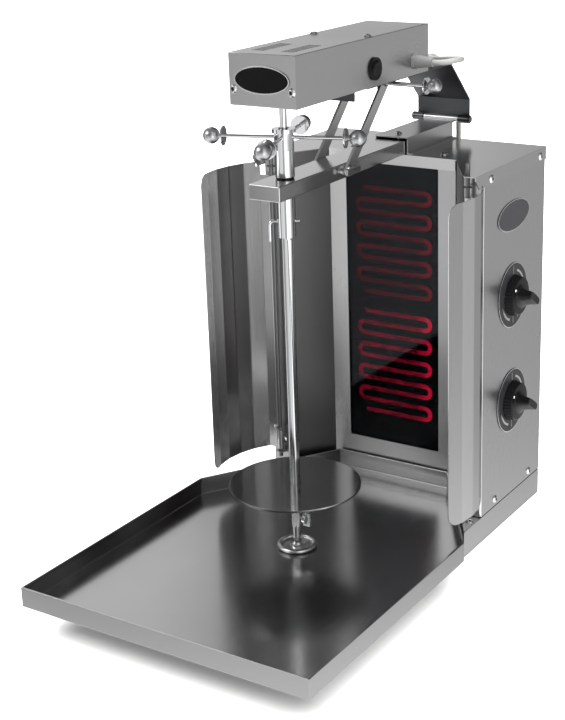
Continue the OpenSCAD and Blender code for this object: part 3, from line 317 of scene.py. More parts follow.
def make_materials():
    """Makes every finish of the grill."""
    colours = bpy.context.scene.kebab_colours
    tone, chrome, black = list(colours.steel), list(colours.chrome), list(colours.plastic)
    hot, dull = list(colours.glow), linear("#3c0412")
    MATERIALS.update(
        # Stainless sheet, ground with a belt: a satin of fine lines. The real lines are
        # about 0.1 mm wide; they are drawn 0.6 mm wide so that the render shows them.
        brushed_upright=steel(
            "Brushed stainless steel, upright grain", "Z", tone,
            rough=0.3, spread=0.02, grain_mm=0.6, bump=0.02, cloud=0.02,
        ),
        brushed_lengthwise=steel(
            "Brushed stainless steel, lengthwise grain", "Y", tone,
            rough=0.3, spread=0.02, grain_mm=0.6, bump=0.02, cloud=0.02,
        ),
        # Sheet inside the heat: the same steel, tinted to a darker grey
        heat_darkened=steel(
            "Heat-darkened stainless steel", "Z", shaded(tone, 0.34),
            rough=0.36, spread=0.03, grain_mm=0.8, bump=0.02, cloud=0.02,
        ),
        # Bright rolled stainless sheet: nearly a mirror, with the mill's faint direction
        bright_upright=steel(
            "Bright rolled stainless steel, upright", "Z", shaded(tone, 1.15),
            rough=0.25, spread=0.012, grain_mm=1.2, bump=0.0, cloud=0.012,
        ),
        bright_lengthwise=steel(
            "Bright rolled stainless steel, lengthwise", "Y", tone,
            rough=0.16, spread=0.015, grain_mm=1.2, bump=0.015, cloud=0.012,
        ),
        # Polished stainless bar and tube: turned, so its fine lines run round
        polished_bar=steel(
            "Polished stainless bar", "X", chrome,
            rough=0.12, spread=0.02, grain_mm=0.8, bump=0.03, cloud=0.01,
        ),
        # Tray sheet, satin from wiping: it blurs what stands in it into soft streaks
        tray_satin=steel(
            "Wiped satin stainless tray", "Y", shaded(tone, 0.7),
            rough=0.2, spread=0.03, grain_mm=1.0, bump=0.02, cloud=0.02,
        ),
        # Carrier disc: thick rolled plate with a half-mirror face
        disc_plate=steel(
            "Rolled stainless plate", "X", shaded(tone, 0.85),
            rough=0.13, spread=0.02, grain_mm=1.0, bump=0.02, cloud=0.015,
        ),
        # Darkened steel plate: a matt grey that stays darker than the bare sheet
        dark_plate=steel(
            "Darkened steel plate", "X", linear("#58595b"),
            rough=0.3, spread=0.03, grain_mm=1.0, bump=0.04,
        ),
        # Chromed steel: a clear mirror with hardly any haze
        chrome=steel(
            "Bright chrome plate", "Z", chrome,
            rough=0.06, spread=0.015, grain_mm=1.0, bump=0.0, cloud=0.01,
        ),
        # Chrome on the turned balls: fine lathe lines under it spread its highlights
        satin_chrome=steel(
            "Satin chrome plate", "Z", shaded(chrome, 0.7),
            rough=0.33, spread=0.02, grain_mm=0.8, bump=0.01, cloud=0.01,
        ),
        # Plain drawn steel: a dull, dark grey bar with no plating
        rod_steel=steel(
            "Drawn steel rod", "Z", shaded(chrome, 0.35),
            rough=0.5, spread=0.02, grain_mm=0.8, bump=0.01, cloud=0.01,
        ),
        # Stamped rim, bright as foil and a little blurred
        rim_silver=steel(
            "Stamped silver rim", "Z", linear("#e4e4e4"),
            rough=0.28, spread=0.03, grain_mm=0.8, bump=0.03, cloud=0.01,
        ),
        # Bearing brass, dark from grease and heat
        brass=steel(
            "Greased brass", "Z", linear("#3a342a"),
            rough=0.3, spread=0.05, grain_mm=0.6, bump=0.08,
        ),
        glass=ceramic_glass("Tinted glass ceramic"),
        # Resistance strips: the upper element is cooler than the lower one
        coil_high=glowing(
            "Resistance strip, dull red", hot, dull, strength=1.9, right=0.5, left=0.08
        ),
        coil_low=glowing(
            "Resistance strip, bright red", hot, dull, strength=3.9, right=1.0, left=0.12
        ),
        # Pressed ceramic fibre board: chalky and rough
        board=moulded(
            "Ceramic fibre board", linear("#211e1b"), rough=0.95, grit_mm=1.5, bump=0.4
        ),
        # Moulded phenolic: black with a soft shine
        black_plastic=moulded(
            "Moulded black phenolic", black,
            rough=0.34, grit_mm=0.8, bump=0.1, fleck=0.1, shine=0.22,
        ),
        # Lacquers of dials and badges: smooth and dark, with a dull shine
        dial=moulded(
            "Dark grey dial lacquer", linear("#242426"),
            rough=0.35, grit_mm=1.0, bump=0.03, fleck=0.08, shine=0.25,
        ),
        badge=moulded(
            "Black badge lacquer", linear("#040405"),
            rough=0.25, grit_mm=1.0, bump=0.02, fleck=0.08, shine=0.2,
        ),
        badge_grey=moulded(
            "Grey badge lacquer", linear("#2e2e30"),
            rough=0.35, grit_mm=1.0, bump=0.02, fleck=0.08, shine=0.2,
        ),
        # Paint filled into the knobs' dots
        white_mark=moulded(
            "White filled mark", linear("#e2e2e0"), rough=0.5, grit_mm=0.8, bump=0.05
        ),
        # Die-cast zinc of the gearbox and the motor: matt and grainy, and its grey darkened
        # near black as painted shade under the hood, so that the vent slots look dark
        casting=moulded(
            "Grey die casting", linear("#18191a"), rough=0.55, grit_mm=1.2, bump=0.4
        ),
        # Extruded cable sheath and moulded glands: plastics with a faint sheen
        sheath=moulded(
            "Light grey cable sheath", list(colours.cable), rough=0.42, grit_mm=0.9, bump=0.1
        ),
        grey_polyamide=moulded(
            "Grey polyamide", linear("#6a6a69"), rough=0.4, grit_mm=0.9, bump=0.1
        ),
        # Painted shade: a near-black colour on the screw heads' sunk tops and on the slot
        # walls, where no light gets in, and on the strips' edges, which stay cool and don't
        # glow
        recess=moulded(
            "Dark recess", linear("#0c0c0d"),
            rough=0.6, grit_mm=1.0, bump=0.1, fleck=0.1, shine=0.15,
        ),
    )


# Shapes

# Points of a solid's loose triangles that lie closer than this are one, in metres
WELD = 2e-6
# Faces that meet at less than this many degrees are one flat face
FLAT = 0.4
# Edges over this many degrees stay sharp in the shading
SHARP = 42
# A face narrower than this is a sheet's cut edge, so no bend starts at it, in metres
CUT_EDGE = 0.0028
# Slots lie this far inside a sheet's outer walls and this near to its top, in metres
SLOT_INSET, SLOT_DEPTH = 0.004, 0.003
# A tall corner is longer than the first, between faces wider than the second, in metres
TALL, WIDE = 0.3, 0.005


def placed(bm, name, materials, sharp=SHARP):
    """Makes a bmesh an object; its edges over an angle in degrees stay sharp."""
    mesh = bpy.data.meshes.new(name)
    bm.to_mesh(mesh)
    bm.free()
    mesh.shade_smooth()
    mesh.set_sharp_from_angle(angle=math.radians(sharp))
    for material in materials:
        mesh.materials.append(MATERIALS[material])
    piece = bpy.data.objects.new(name, mesh)
    bpy.context.scene.collection.objects.link(piece)
    return piece


def finished(bm, name, body, material, slot, *nodes, trim=None):
    """Makes a bmesh a piece that rides on its body and stands for the named CAD nodes."""
    piece = placed(bm, name, [material, trim] if trim else [material])
    even = piece.modifiers.new("Even normals", "WEIGHTED_NORMAL")
    even.keep_sharp = True
    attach(piece, body)
    if nodes:
        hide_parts(*nodes)
    return piece


def merged(node):
    """A CAD node's shape, with its loose triangles merged and its flat ones joined."""
    bm = bmesh.new()
    bm.from_mesh(frame["nodes"][node].data)
    bmesh.ops.remove_doubles(bm, verts=bm.verts, dist=WELD)
    bmesh.ops.dissolve_limit(
        bm, angle_limit=math.radians(FLAT), verts=bm.verts, edges=bm.edges
    )
    return bm


def rounded(bm, edges, radius, segments=2, clamp=True):
    """Rounds edges of a bmesh; unclamped, small faces near them don't hold the radius back."""
    if edges:
        bmesh.ops.bevel(
            bm, geom=edges, offset=radius, segments=segments, profile=0.5,
            affect="EDGES", clamp_overlap=clamp, material=-1,
        )


def sharp_edges(bm, over):
    """The edges at which two faces meet at more than an angle in degrees."""
    limit = math.radians(over)
    return [
        edge
        for edge in bm.edges
        if len(edge.link_faces) == 2 and edge.calc_face_angle(0) > limit
    ]


def width_at(edge):
    """How wide the narrower of an edge's two faces is, measured across that edge."""
    length = max(edge.calc_length(), 1e-9)
    return min(face.calc_area() for face in edge.link_faces) / length


def slot_walls(bm, node):
    """The walls of the slots in a sheet's top: they stand well inside its outer walls."""
    low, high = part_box(node)
    walls = []
    for face in bm.faces:
        place = face.calc_center_median()
        inside = all(low[i] + SLOT_INSET < place[i] < high[i] - SLOT_INSET for i in (0, 1))
        if inside and abs(face.normal.z) < 0.1 and place.z > high.z - SLOT_DEPTH:
            walls.append(face)
    return walls


def tall_corners(bm):
    """The outer corners that run up a tall panel, away from its cut edges."""
    return [
        edge
        for edge in sharp_edges(bm, 60)
        if edge.is_convex and edge.calc_length() > TALL and width_at(edge) > WIDE
    ]


def sheet_metal(
    node, material, slot, folds=(25, 180), long=0.0, soft=None, cuts=None, leading=None
):
    """A folded sheet: its bends get the sheet's bend radius, and its cut rims a fine rounding.

    A bend is an edge with an angle within folds, in degrees, that is longer than long. With
    soft, bends get that radius. With cuts, the walls of its slots get that material, a painted
    shade that darkens them. With leading, its tall outer corners are drawn flat to that width.
    """
    sizes = bpy.context.scene.kebab_sizes
    bm = merged(node)
    low, high = (math.radians(a) for a in folds)
    if cuts:
        for face in slot_walls(bm, node):
            face.material_index = 1
    if leading:
        rounded(bm, tall_corners(bm), leading, 1, clamp=False)
    bends, rims = [], []
    for edge in bm.edges:
        if len(edge.link_faces) != 2:
            continue
        angle = edge.calc_face_angle(0)
        if low < angle <= high and edge.calc_length() > long and width_at(edge) > CUT_EDGE:
            bends.append(edge)
        elif angle > math.radians(50):
            rims.append(edge)
    rounded(bm, bends, soft or sizes.bend_radius, 3)
    rounded(bm, [edge for edge in rims if edge.is_valid], sizes.rim_radius)
    return finished(bm, node + "_formed", BODY_OF[node], material, slot, node, trim=cuts)


def machined(node, material, slot, radius=None):
    """A turned or milled piece with its sharp corners broken."""
    bm = merged(node)
    rounded(bm, sharp_edges(bm, 30), radius or bpy.context.scene.kebab_sizes.rim_radius)
    return finished(bm, node + "_turned", BODY_OF[node], material, slot, node)


def coated(node, material):
    """Gives a CAD node that keeps its own shape a finish."""
    slots = frame["nodes"][node].data.materials
    slots.clear()
    slots.append(MATERIALS[material])


def spun(bm, profile, origin, axis, steps=48):
    """Spins a profile of (radius, height) pairs in millimetres round an axis through origin."""
    axis = Vector(axis).normalized()
    side = axis.orthogonal().normalized()
    origin = Vector(origin)
    verts = [bm.verts.new(origin + side * r * MM + axis * h * MM) for r, h in profile]
    edges = [bm.edges.new(pair) for pair in zip(verts, verts[1:])]
    bmesh.ops.spin(
        bm, geom=verts + edges, cent=origin, axis=axis, angle=math.tau, steps=steps,
        use_merge=True,
    )


def tidied(bm):
    """Merges the poles of spun shapes and turns all faces outwards."""
    bmesh.ops.remove_doubles(bm, verts=bm.verts, dist=1e-6)
    bmesh.ops.recalc_face_normals(bm, faces=bm.faces)
    return bm


def ball_profile(d, near, neck, steps=20):
    """Profile of a ball of diameter d with its ferrule, all in millimetres.

    The ferrule's foot lies at height near, below the ball's middle, and its neck has a radius.
    """
    r = d / 2
    start = math.asin(neck / r)
    turns = [start + (math.pi - start) * i / steps for i in range(steps + 1)]
    foot = neck * 1.25
    ferrule = [(0, near), (foot, near), (foot, near + 0.8), (neck, near + 1.3)]
    return ferrule + [(r * math.sin(a), -r * math.cos(a)) for a in turns]


def lofted(bm, rings):
    """Bridges rings of points into one closed skin with flat ends."""
    last = None
    for ring in rings:
        verts = [bm.verts.new(point) for point in ring]
        edges = [bm.edges.new((verts[k - 1], verts[k])) for k in range(len(verts))]
        if last:
            bmesh.ops.bridge_loops(bm, edges=last + edges)
        else:
            bmesh.ops.contextual_create(bm, geom=edges)
        last = edges
    bmesh.ops.contextual_create(bm, geom=last)
    bmesh.ops.recalc_face_normals(bm, faces=bm.faces)
    return bm


def rimmed(node, material, trim, slot, outwards, width, radius=0.0003, walls=False):
    """A plate with a stamped rim: its front face is inset, and the border left is the rim.

    With walls, the rim's material covers everything but the inset face.
    """
    bm = merged(node)
    outwards = Vector(outwards)
    # The front is what faces outwards and lies farthest out
    front = [face for face in bm.faces if face.normal.dot(outwards) > 0.99]
    far = max(face.calc_center_median().dot(outwards) for face in front)
    front = [f for f in front if f.calc_center_median().dot(outwards) > far - 1e-5]
    border = bmesh.ops.inset_region(
        bm, faces=front, thickness=width, use_even_offset=True, use_boundary=True
    )["faces"]
    for face in set(bm.faces) - set(front) if walls else border:
        face.material_index = 1
    rounded(bm, sharp_edges(bm, 60), radius)
    return finished(bm, node + "_rimmed", BODY_OF[node], material, slot, node, trim=trim)


# The tops of screw heads: at least this many corners, and an area in square metres
HEAD_CORNERS, HEAD_AREA = 9, (0.00001, 0.00006)
# A head's top meets its sloping side at less than this many degrees, and a shank's flat end
# meets its side at 90
HEAD_EDGE = 85
# How wide a border a recess leaves, and how deep it is, in metres
RECESS_BORDER, RECESS_DEPTH = 0.0011, 0.0007


def recessed(node):
    """Screws whose round head tops are inset and sunk, and the sunk part coloured with painted
    shade.
    """
    bm = merged(node)
    tops = [
        face
        for face in bm.faces
        if len(face.verts) >= HEAD_CORNERS
        and HEAD_AREA[0] < face.calc_area() < HEAD_AREA[1]
        and min(edge.calc_face_angle(0) for edge in face.edges) < math.radians(HEAD_EDGE)
    ]
    bmesh.ops.inset_individual(
        bm, faces=tops, thickness=RECESS_BORDER, use_even_offset=True
    )
    for face in tops:
        face.material_index = 1
        bmesh.ops.translate(bm, verts=face.verts, vec=face.normal * -RECESS_DEPTH)
    return finished(
        bm, node + "_recessed", BODY_OF[node], "chrome", "bright_chrome", node, trim="recess"
    )


# Operators, one for each piece or group of like pieces


class KEBAB_OT_cabinet(bpy.types.Operator):
    """Dress the cabinet's folded sheets"""

    bl_idname = "kebab.cabinet"
    bl_label = "Cabinet"

    def execute(self, context):
        for node in ("right_side_panel", "left_side_panel"):
            sheet_metal(node, "brushed_upright", "brushed_stainless", leading=0.0021)
        sheet_metal("rear_panel", "brushed_upright", "brushed_stainless")
        sheet_metal("splay_plates", "heat_darkened", "brushed_stainless")
        for node in ("base_plate", "plinth", "tray_runners", "wing_brackets"):
            sheet_metal(node, "brushed_lengthwise", "brushed_stainless")
        sheet_metal("top_cover", "bright_lengthwise", "polished_stainless")
        return {"FINISHED"}


class KEBAB_OT_heater(bpy.types.Operator):
    """Dress the heater's frame, glass, elements and inner parts"""

    bl_idname = "kebab.heater"
    bl_label = "Heater"

    def execute(self, context):
        sheet_metal("heater_frame", "brushed_upright", "brushed_stainless")
        machined("heater_glass", "glass", "black_glass", radius=0.0006)
        # Only the middle of each strip glows: its edges are cooled by the board
        for node, glow in (("upper_element", "coil_high"), ("lower_element", "coil_low")):
            rimmed(
                node, glow, "recess", "glowing_element", (0, -1, 0),
                width=0.0013, radius=0.0001, walls=True,
            )
        coated("insulation_board", "board")
        coated("terminal_block", "board")
        coated("reflector_pan", "dark_plate")
        coated("regulators", "black_plastic")
        return {"FINISHED"}


class KEBAB_OT_tray(bpy.types.Operator):
    """Dress the drip tray"""

    bl_idname = "kebab.tray"
    bl_label = "Drip Tray"

    def execute(self, context):
        sheet_metal("tray", "tray_satin", "tray_steel")
        return {"FINISHED"}


class KEBAB_OT_wings(bpy.types.Operator):
    """Dress the two folded wings and their rods"""

    bl_idname = "kebab.wings"
    bl_label = "Wings"

    def execute(self, context):
        for node in ("left_wing", "right_wing"):
            sheet_metal(
                node, "bright_upright", "polished_stainless",
                folds=(5, 40), long=0.1, soft=context.scene.kebab_sizes.facet_radius,
            )
        machined("wing_rods", "rod_steel", "bright_chrome")
        return {"FINISHED"}


class KEBAB_OT_arm(bpy.types.Operator):
    """Dress the arm, its tunnel, stays and hinge pin"""

    bl_idname = "kebab.arm"
    bl_label = "Arm"

    def execute(self, context):
        sheet_metal("arm", "bright_lengthwise", "polished_stainless")
        sheet_metal("arm_tunnel", "brushed_lengthwise", "brushed_stainless")
        sheet_metal("stays", "brushed_lengthwise", "brushed_stainless")
        machined("arm_bush", "brass", "bush_brass")
        machined("stay_clamp", "chrome", "bright_chrome")
        machined("hinge_pin", "rod_steel", "bright_chrome")
        return {"FINISHED"}


class KEBAB_OT_drive(bpy.types.Operator):
    """Dress the tilting drive and its switch"""

    bl_idname = "kebab.drive"
    bl_label = "Drive"

    def execute(self, context):
        sheet_metal("drive_base", "brushed_lengthwise", "brushed_stainless")
        # The walls of the hood's vent slots get painted shade
        sheet_metal("drive_hood", "brushed_lengthwise", "brushed_stainless", cuts="recess")
        sheet_metal("tilt_plate", "dark_plate", "dark_steel")
        sheet_metal("lock_lug", "dark_plate", "dark_steel")
        machined("switch_body", "black_plastic", "black_plastic", radius=0.0005)
        machined("switch_rocker", "black_plastic", "black_plastic", radius=0.0005)
        machined("lock_rod", "chrome", "bright_chrome")
        machined("output_shaft", "chrome", "bright_chrome")
        # The gearbox and the motor are darkened to painted shade
        coated("gearbox", "casting")
        coated("motor", "casting")
        return {"FINISHED"}


# The spun foot's radii and heights in millimetres, from the middle of its underside round
# its rim to the middle of its top
FOOT_PROFILE = (
    (0, 0), (18.8, 0), (20.9, 0.5), (22.2, 1.5), (22.7, 2.8), (22.5, 3.9), (21.7, 5.0),
    (20.4, 5.8), (19.2, 6.0), (18.2, 5.7), (17.7, 4.9), (17.5, 3.6), (17.0, 2.9), (16.2, 2.7),
    (8.2, 2.7), (7.2, 3.1), (6.9, 5.2), (6.5, 5.6), (0, 5.6),
)


# The square bar's long corners are longer than the first, and drawn to a radius of the
# second, in metres
BAR_LENGTH, BAR_CORNER = 0.15, 0.0032


def drawn_bar():
    """The square bar, with its four long corners drawn to a wide radius."""
    bm = merged("spit_shaft")
    corners = [edge for edge in bm.edges if edge.calc_length() > BAR_LENGTH]
    rounded(bm, corners, BAR_CORNER, 6, clamp=False)
    finished(
        bm, "spit_shaft_drawn", BODY_OF["spit_shaft"], "polished_bar",
        "polished_stainless", "spit_shaft",
    )


def spun_foot():
    """The foot of the spit, a dish with a rolled rim that stands in the tray."""
    low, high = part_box("spit_foot")
    base = Vector(((low.x + high.x) / 2, (low.y + high.y) / 2, low.z))
    bm = bmesh.new()
    spun(bm, FOOT_PROFILE, base, (0, 0, 1), 72)
    finished(
        tidied(bm), "spit_foot_turned", BODY_OF["spit_foot"], "rim_silver",
        "bright_chrome", "spit_foot",
    )


class KEBAB_OT_spit(bpy.types.Operator):
    """Dress the spit with its cross handle, disc and foot"""

    bl_idname = "kebab.spit"
    bl_label = "Spit"

    def execute(self, context):
        machined("spit_sleeve", "polished_bar", "polished_stainless", radius=0.0004)
        drawn_bar()
        machined("meat_disc", "disc_plate", "brushed_stainless", radius=0.0002)
        for node in ("cross_rods", "disc_hub", "thumb_screws", "spit_pin"):
            machined(node, "chrome", "bright_chrome", radius=0.0004)
        spun_foot()
        return {"FINISHED"}


# How far out the cross handle's four balls stand in metres, and the first one's bearing in
# degrees
BALL_REACH, FIRST_BALL = 0.079, 18


class KEBAB_OT_balls(bpy.types.Operator):
    """Turn the chromed balls of the cross handle and of the lock rod"""

    bl_idname = "kebab.balls"
    bl_label = "Balls"

    def execute(self, context):
        low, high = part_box("cross_balls")
        middle = (low + high) / 2
        profile = ball_profile(
            context.scene.kebab_sizes.ball_diameter / MM, near=-11.9, neck=3.1
        )
        bm = bmesh.new()
        for i in range(4):
            angle = math.radians(FIRST_BALL + 90 * i)
            out = Vector((math.cos(angle), math.sin(angle), 0))
            spun(bm, profile, middle + out * BALL_REACH, out)
        finished(
            tidied(bm), "cross_handle_balls", "spit", "satin_chrome",
            "bright_chrome", "cross_balls",
        )
        low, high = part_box("lock_ball")
        profile = ball_profile((high.x - low.x) / MM, near=-10.2, neck=2.6)
        bm = bmesh.new()
        spun(bm, profile, (low + high) / 2, (1, 0, 0))
        finished(
            tidied(bm), "lock_rod_ball", "lock_rod", "satin_chrome",
            "bright_chrome", "lock_ball",
        )
        return {"FINISHED"}


# The rings of a knob's skin, in millimetres: height, half length, half width, squareness,
# and depth of the ribs
KNOB_RINGS = (
    (0.0, 24.0, 24.0, 2.0, 0.0),
    (0.5, 24.4, 24.4, 2.0, 0.7),
    (7.6, 22.7, 22.7, 2.0, 0.7),
    (8.6, 22.4, 22.4, 2.0, 0.0),
    (9.6, 21.9, 21.9, 2.0, 0.0),
    (10.0, 21.2, 21.2, 2.0, 0.0),
    (10.2, 17.6, 15.2, 2.1, 0.0),
    (10.9, 16.6, 12.4, 2.3, 0.0),
    (12.4, 15.8, 9.8, 2.6, 0.0),
    (15.0, 15.2, 7.7, 3.0, 0.0),
    (19.0, 14.9, 6.3, 3.4, 0.0),
    (24.5, 14.7, 5.1, 3.8, 0.0),
    (26.9, 14.4, 4.5, 3.8, 0.0),
    (27.5, 13.6, 3.7, 3.4, 0.0),
)
# The rings above this height are stretched so that the grip is as tall as the solid's
SKIRT_TOP = 10.0
# Points in a ring: every rib takes two of them, and the gap beside it two
RING_POINTS = 144
# Where the grips point, in degrees
POINTER = 146
# The dot on a knob's skirt: its place as height and radius, and its profile, in millimetres
DOT_PLACE = (9.9, 18.6)
DOT_PROFILE = ((0, 0), (1.7, 0), (1.7, 0.2), (1.5, 0.3), (0, 0.3))
# The marks printed round a knob, two arcs and four ticks: where they start and end in
# degrees, and their inner and outer radius in millimetres
DIAL_MARKS = (
    (72, 24, 28.2, 30.8),
    (-108, -162, 28.2, 30.8),
    (90.8, 89.2, 26.0, 35.0),
    (-89.2, -90.8, 26.0, 34.0),
    (13.6, 12.4, 30.0, 33.0),
    (-66.4, -67.6, 30.0, 33.0),
)
# How far below a knob's foot the dial's face lies in millimetres, and how thick the print
# is in metres
DIAL_FACE, PRINT = -0.25, 0.00012


def on_knob(centre, height, radius, angle):
    """A point on or round a knob, in millimetres out from the panel and off its axis."""
    return centre + Vector((height, radius * math.cos(angle), radius * math.sin(angle))) * MM


def knob_skin(centre, reach):
    """The rings of a knob that reaches so many millimetres out: ribbed skirt, flat grip."""
    stretch = (reach - SKIRT_TOP) / (KNOB_RINGS[-1][0] - SKIRT_TOP)
    rings = []
    for height, a, b, square, rib in KNOB_RINGS:
        if height > SKIRT_TOP:
            height = SKIRT_TOP + (height - SKIRT_TOP) * stretch
        ring = []
        for k in range(RING_POINTS):
            t = math.tau * k / RING_POINTS
            span = abs(math.cos(t) / a) ** square + abs(math.sin(t) / b) ** square
            r = span ** (-1 / square) - (rib if k % 4 > 1 else 0)
            ring.append(on_knob(centre, height, r, math.radians(POINTER) + t))
        rings.append(ring)
    return rings


def printed_marks(bm, centre):
    """Adds the flat marks of one dial to a bmesh."""
    for start, end, *radii in DIAL_MARKS:
        ends = [
            bm.verts.new(on_knob(centre, DIAL_FACE, r, math.radians(start))) for r in radii
        ]
        edge = bm.edges.new(ends)
        bmesh.ops.spin(
            bm, geom=ends + [edge], cent=on_knob(centre, DIAL_FACE, 0, 0), axis=(1, 0, 0),
            angle=math.radians(end - start), steps=max(1, int(abs(end - start) / 4)),
            use_merge=False,
        )


class KEBAB_OT_controls(bpy.types.Operator):
    """Dress the knobs with their dials and white dots"""

    bl_idname = "kebab.controls"
    bl_label = "Controls"

    def execute(self, context):
        marks = bmesh.new()
        for name in ("upper_knob", "lower_knob"):
            low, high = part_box(name)
            centre = Vector((low.x, (low.y + high.y) / 2, (low.z + high.z) / 2))
            skin = knob_skin(centre, (high.x - low.x) / MM)
            finished(
                lofted(bmesh.new(), skin), name + "_moulded", name, "black_plastic",
                "black_plastic", name,
            )
            dot = bmesh.new()
            place = on_knob(centre, *DOT_PLACE, math.radians(POINTER))
            spun(dot, DOT_PROFILE, place, (1, 0, 0), 24)
            finished(tidied(dot), name + "_dot", name, "white_mark", "dial_lacquer")
            printed_marks(marks, centre)
        thick = bmesh.ops.extrude_face_region(marks, geom=list(marks.faces))
        raised = [v for v in thick["geom"] if isinstance(v, bmesh.types.BMVert)]
        bmesh.ops.translate(marks, verts=raised, vec=(PRINT, 0, 0))
        finished(tidied(marks), "dial_marks", "root", "rim_silver", "dial_lacquer")
        rimmed("dial_plates", "dial", "rim_silver", "dial_lacquer", (1, 0, 0), width=0.0011)
        return {"FINISHED"}


class KEBAB_OT_badges(bpy.types.Operator):
    """Make the bare oval badges with their bright rims"""

    bl_idname = "kebab.badges"
    bl_label = "Badges"

    def execute(self, context):
        for node, lacquer, outwards, width in (
            ("side_badge", "badge_grey", (1, 0, 0), 0.0011),
            ("drive_badge", "badge", (0, -1, 0), 0.0013),
        ):
            rimmed(node, lacquer, "rim_silver", "badge_lacquer", outwards, width)
        return {"FINISHED"}


class KEBAB_OT_screws(bpy.types.Operator):
    """Dress the screws"""

    bl_idname = "kebab.screws"
    bl_label = "Screws"

    def execute(self, context):
        for node in ("cover_screws", "panel_screws", "drive_screws"):
            recessed(node)
        return {"FINISHED"}


# The cable's middle from the drive's gland to the cabinet's, in millimetres, as in the source
CABLE_ROUTE = (
    (60, 35, 559), (66, 35, 559), (72.5, 35.8, 559), (79, 40, 559.4), (84, 48, 560),
    (85.5, 59, 560), (83, 70, 559), (76.5, 80, 557.5), (67, 88, 556), (55, 94, 554.6),
    (42, 98.5, 553.2), (30, 104, 552.2), (20.5, 112, 551.6), (14.5, 123, 551.5),
    (12, 135, 550.5), (11.6, 146, 546), (11.8, 157, 538), (12, 168, 528.5), (12, 179, 518),
    (12, 190, 506), (12, 197.5, 492), (12, 201.3, 477), (12, 203.2, 462), (12, 203.7, 450),
    (12, 203.6, 441), (12, 202.6, 434), (12, 200, 427.6), (12, 195.6, 422),
    (12, 189.8, 417.8), (12, 183.6, 415.5), (12, 177.5, 415), (12, 172, 415),
)


def swept(bm, path, d, sides=20):
    """Carries a circle along a path, and closes both ends."""
    rings, up = [], Vector((0, 0, 1))
    for i, point in enumerate(path):
        ahead = (path[min(i + 1, len(path) - 1)] - path[max(i - 1, 0)]).normalized()
        up = (up - ahead * up.dot(ahead)).normalized()
        across = ahead.cross(up)
        turns = [math.tau * k / sides for k in range(sides)]
        rings.append([point + (up * math.cos(a) + across * math.sin(a)) * d / 2 for a in turns])
    return lofted(bm, rings)


def smooth_path(points, parts=4):
    """A smooth curve through points in millimetres, with so many parts between each two."""
    points = [Vector(p) * MM for p in points]
    line = []
    for i in range(len(points) - 1):
        a, b = points[max(i - 1, 0)], points[i]
        c, d = points[i + 1], points[min(i + 2, len(points) - 1)]
        for k in range(parts):
            t = k / parts
            bend = (2 * a - 5 * b + 4 * c - d) * t * t + (3 * b - a - 3 * c + d) * t * t * t
            line.append(0.5 * (2 * b + (c - a) * t + bend))
    return line + [points[-1]]


class KEBAB_OT_cables(bpy.types.Operator):
    """Lay the drive's cable from its gland to the cabinet, and make the glands"""

    bl_idname = "kebab.cables"
    bl_label = "Cables"

    def execute(self, context):
        path = smooth_path(CABLE_ROUTE)
        d = context.scene.kebab_sizes.cable_diameter
        cable = placed(swept(bmesh.new(), path, d), "drive_cable_sheath", ["sheath"], sharp=60)
        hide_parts("drive_cable")
        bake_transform(cable)
        for node, material in (
            ("drive_gland", "grey_polyamide"),
            ("cable_gland", "grey_polyamide"),
            ("mains_gland", "black_plastic"),
        ):
            machined(node, material, "black_plastic", radius=0.0004)
        return {"FINISHED"}


# The camera, solved from the photograph's edges: its place in metres, its azimuth, elevation
# and roll in degrees, its lens and sensor in millimetres, and its shift
CAMERA_PLACE = (0.8390, -1.4388, 0.8004)
CAMERA_ANGLES = (33.13, 17.64, -1.75)
CAMERA_LENS, CAMERA_SENSOR = 73.85, 36
CAMERA_SHIFT = (-0.0244, -0.0697)

# Soft lamps: name, place and size in metres, power in watts, and if the steel mirrors them
SOFT_BOXES = (
    ("Key softbox", (-1.5, -1.9, 2.0), (1.6, 1.2), 30, True),
    ("Right softbox", (2.4, -0.4, 1.3), (1.0, 1.4), 22, False),
    ("Top softbox", (0.2, 0.4, 2.6), (2.0, 2.0), 26, False),
)
LAMPS_LOOK_AT = (0, 0, 0.3)

# What stands round a product table, as pairs of a bearing in degrees and a brightness:
# below eye level its pale top and cards, above it a dim room with a pale screen behind,
# and through both two strip boxes
TABLE = (
    (-180, 0.1), (-162, 0.2), (-157, 0.5), (-154, 1.7), (-142, 1.7), (-138, 0.3),
    (-126, 0.27), (-118, 1.0), (-100, 0.85), (-84, 1.1), (-72, 0.5), (-62, 0.45),
    (-54, 1.0), (-46, 2.8), (-28, 2.8), (-24, 1.3), (-12, 1.6), (-4, 1.5), (3, 0.55),
    (26, 0.36), (36, 0.65), (50, 0.6), (64, 0.52), (78, 0.4), (92, 0.12),
    (130, 0.1), (160, 0.14), (180, 0.14),
)
ROOM = (
    (-180, 0.2), (-160, 0.2), (-154, 1.4), (-142, 1.4), (-136, 0.15), (-120, 0.12),
    (-90, 0.2), (-60, 0.3), (-51, 0.5), (-46, 1.8), (-29, 1.8), (-24, 0.8),
    (-2, 0.7), (12, 0.3), (40, 0.2), (85, 0.2), (100, 0.3), (112, 0.42),
    (118, 0.68), (130, 0.85), (145, 0.75), (165, 0.35), (180, 0.2),
)
# Higher up, the screen behind ends at its left and leaves the room dark
HIGH_ROOM = (
    (-180, 0.2), (-120, 0.1), (-60, 0.2), (-43, 1.0), (-24, 1.0), (-8, 0.4),
    (40, 0.12), (118, 0.05), (124, 0.08), (128, 1.1), (150, 1.1), (165, 0.3), (180, 0.2),
)
# The brightness of the table's near part, right below, and of the tent's roof
NEAR_TABLE, ROOF = 1.45, 0.3
# How these layers pass into each other: the new layer, the heights on a sphere of radius 1
# between which it goes from its first layer to its second, and those two
BLENDS = (
    ("lower", -0.38, -0.6, "table", "near_table"),
    ("walls", 0.26, 0.4, "room", "high_room"),
    ("upper", 0.8, 0.94, "walls", "roof"),
    ("tent", -0.05, 0.03, "lower", "upper"),
)


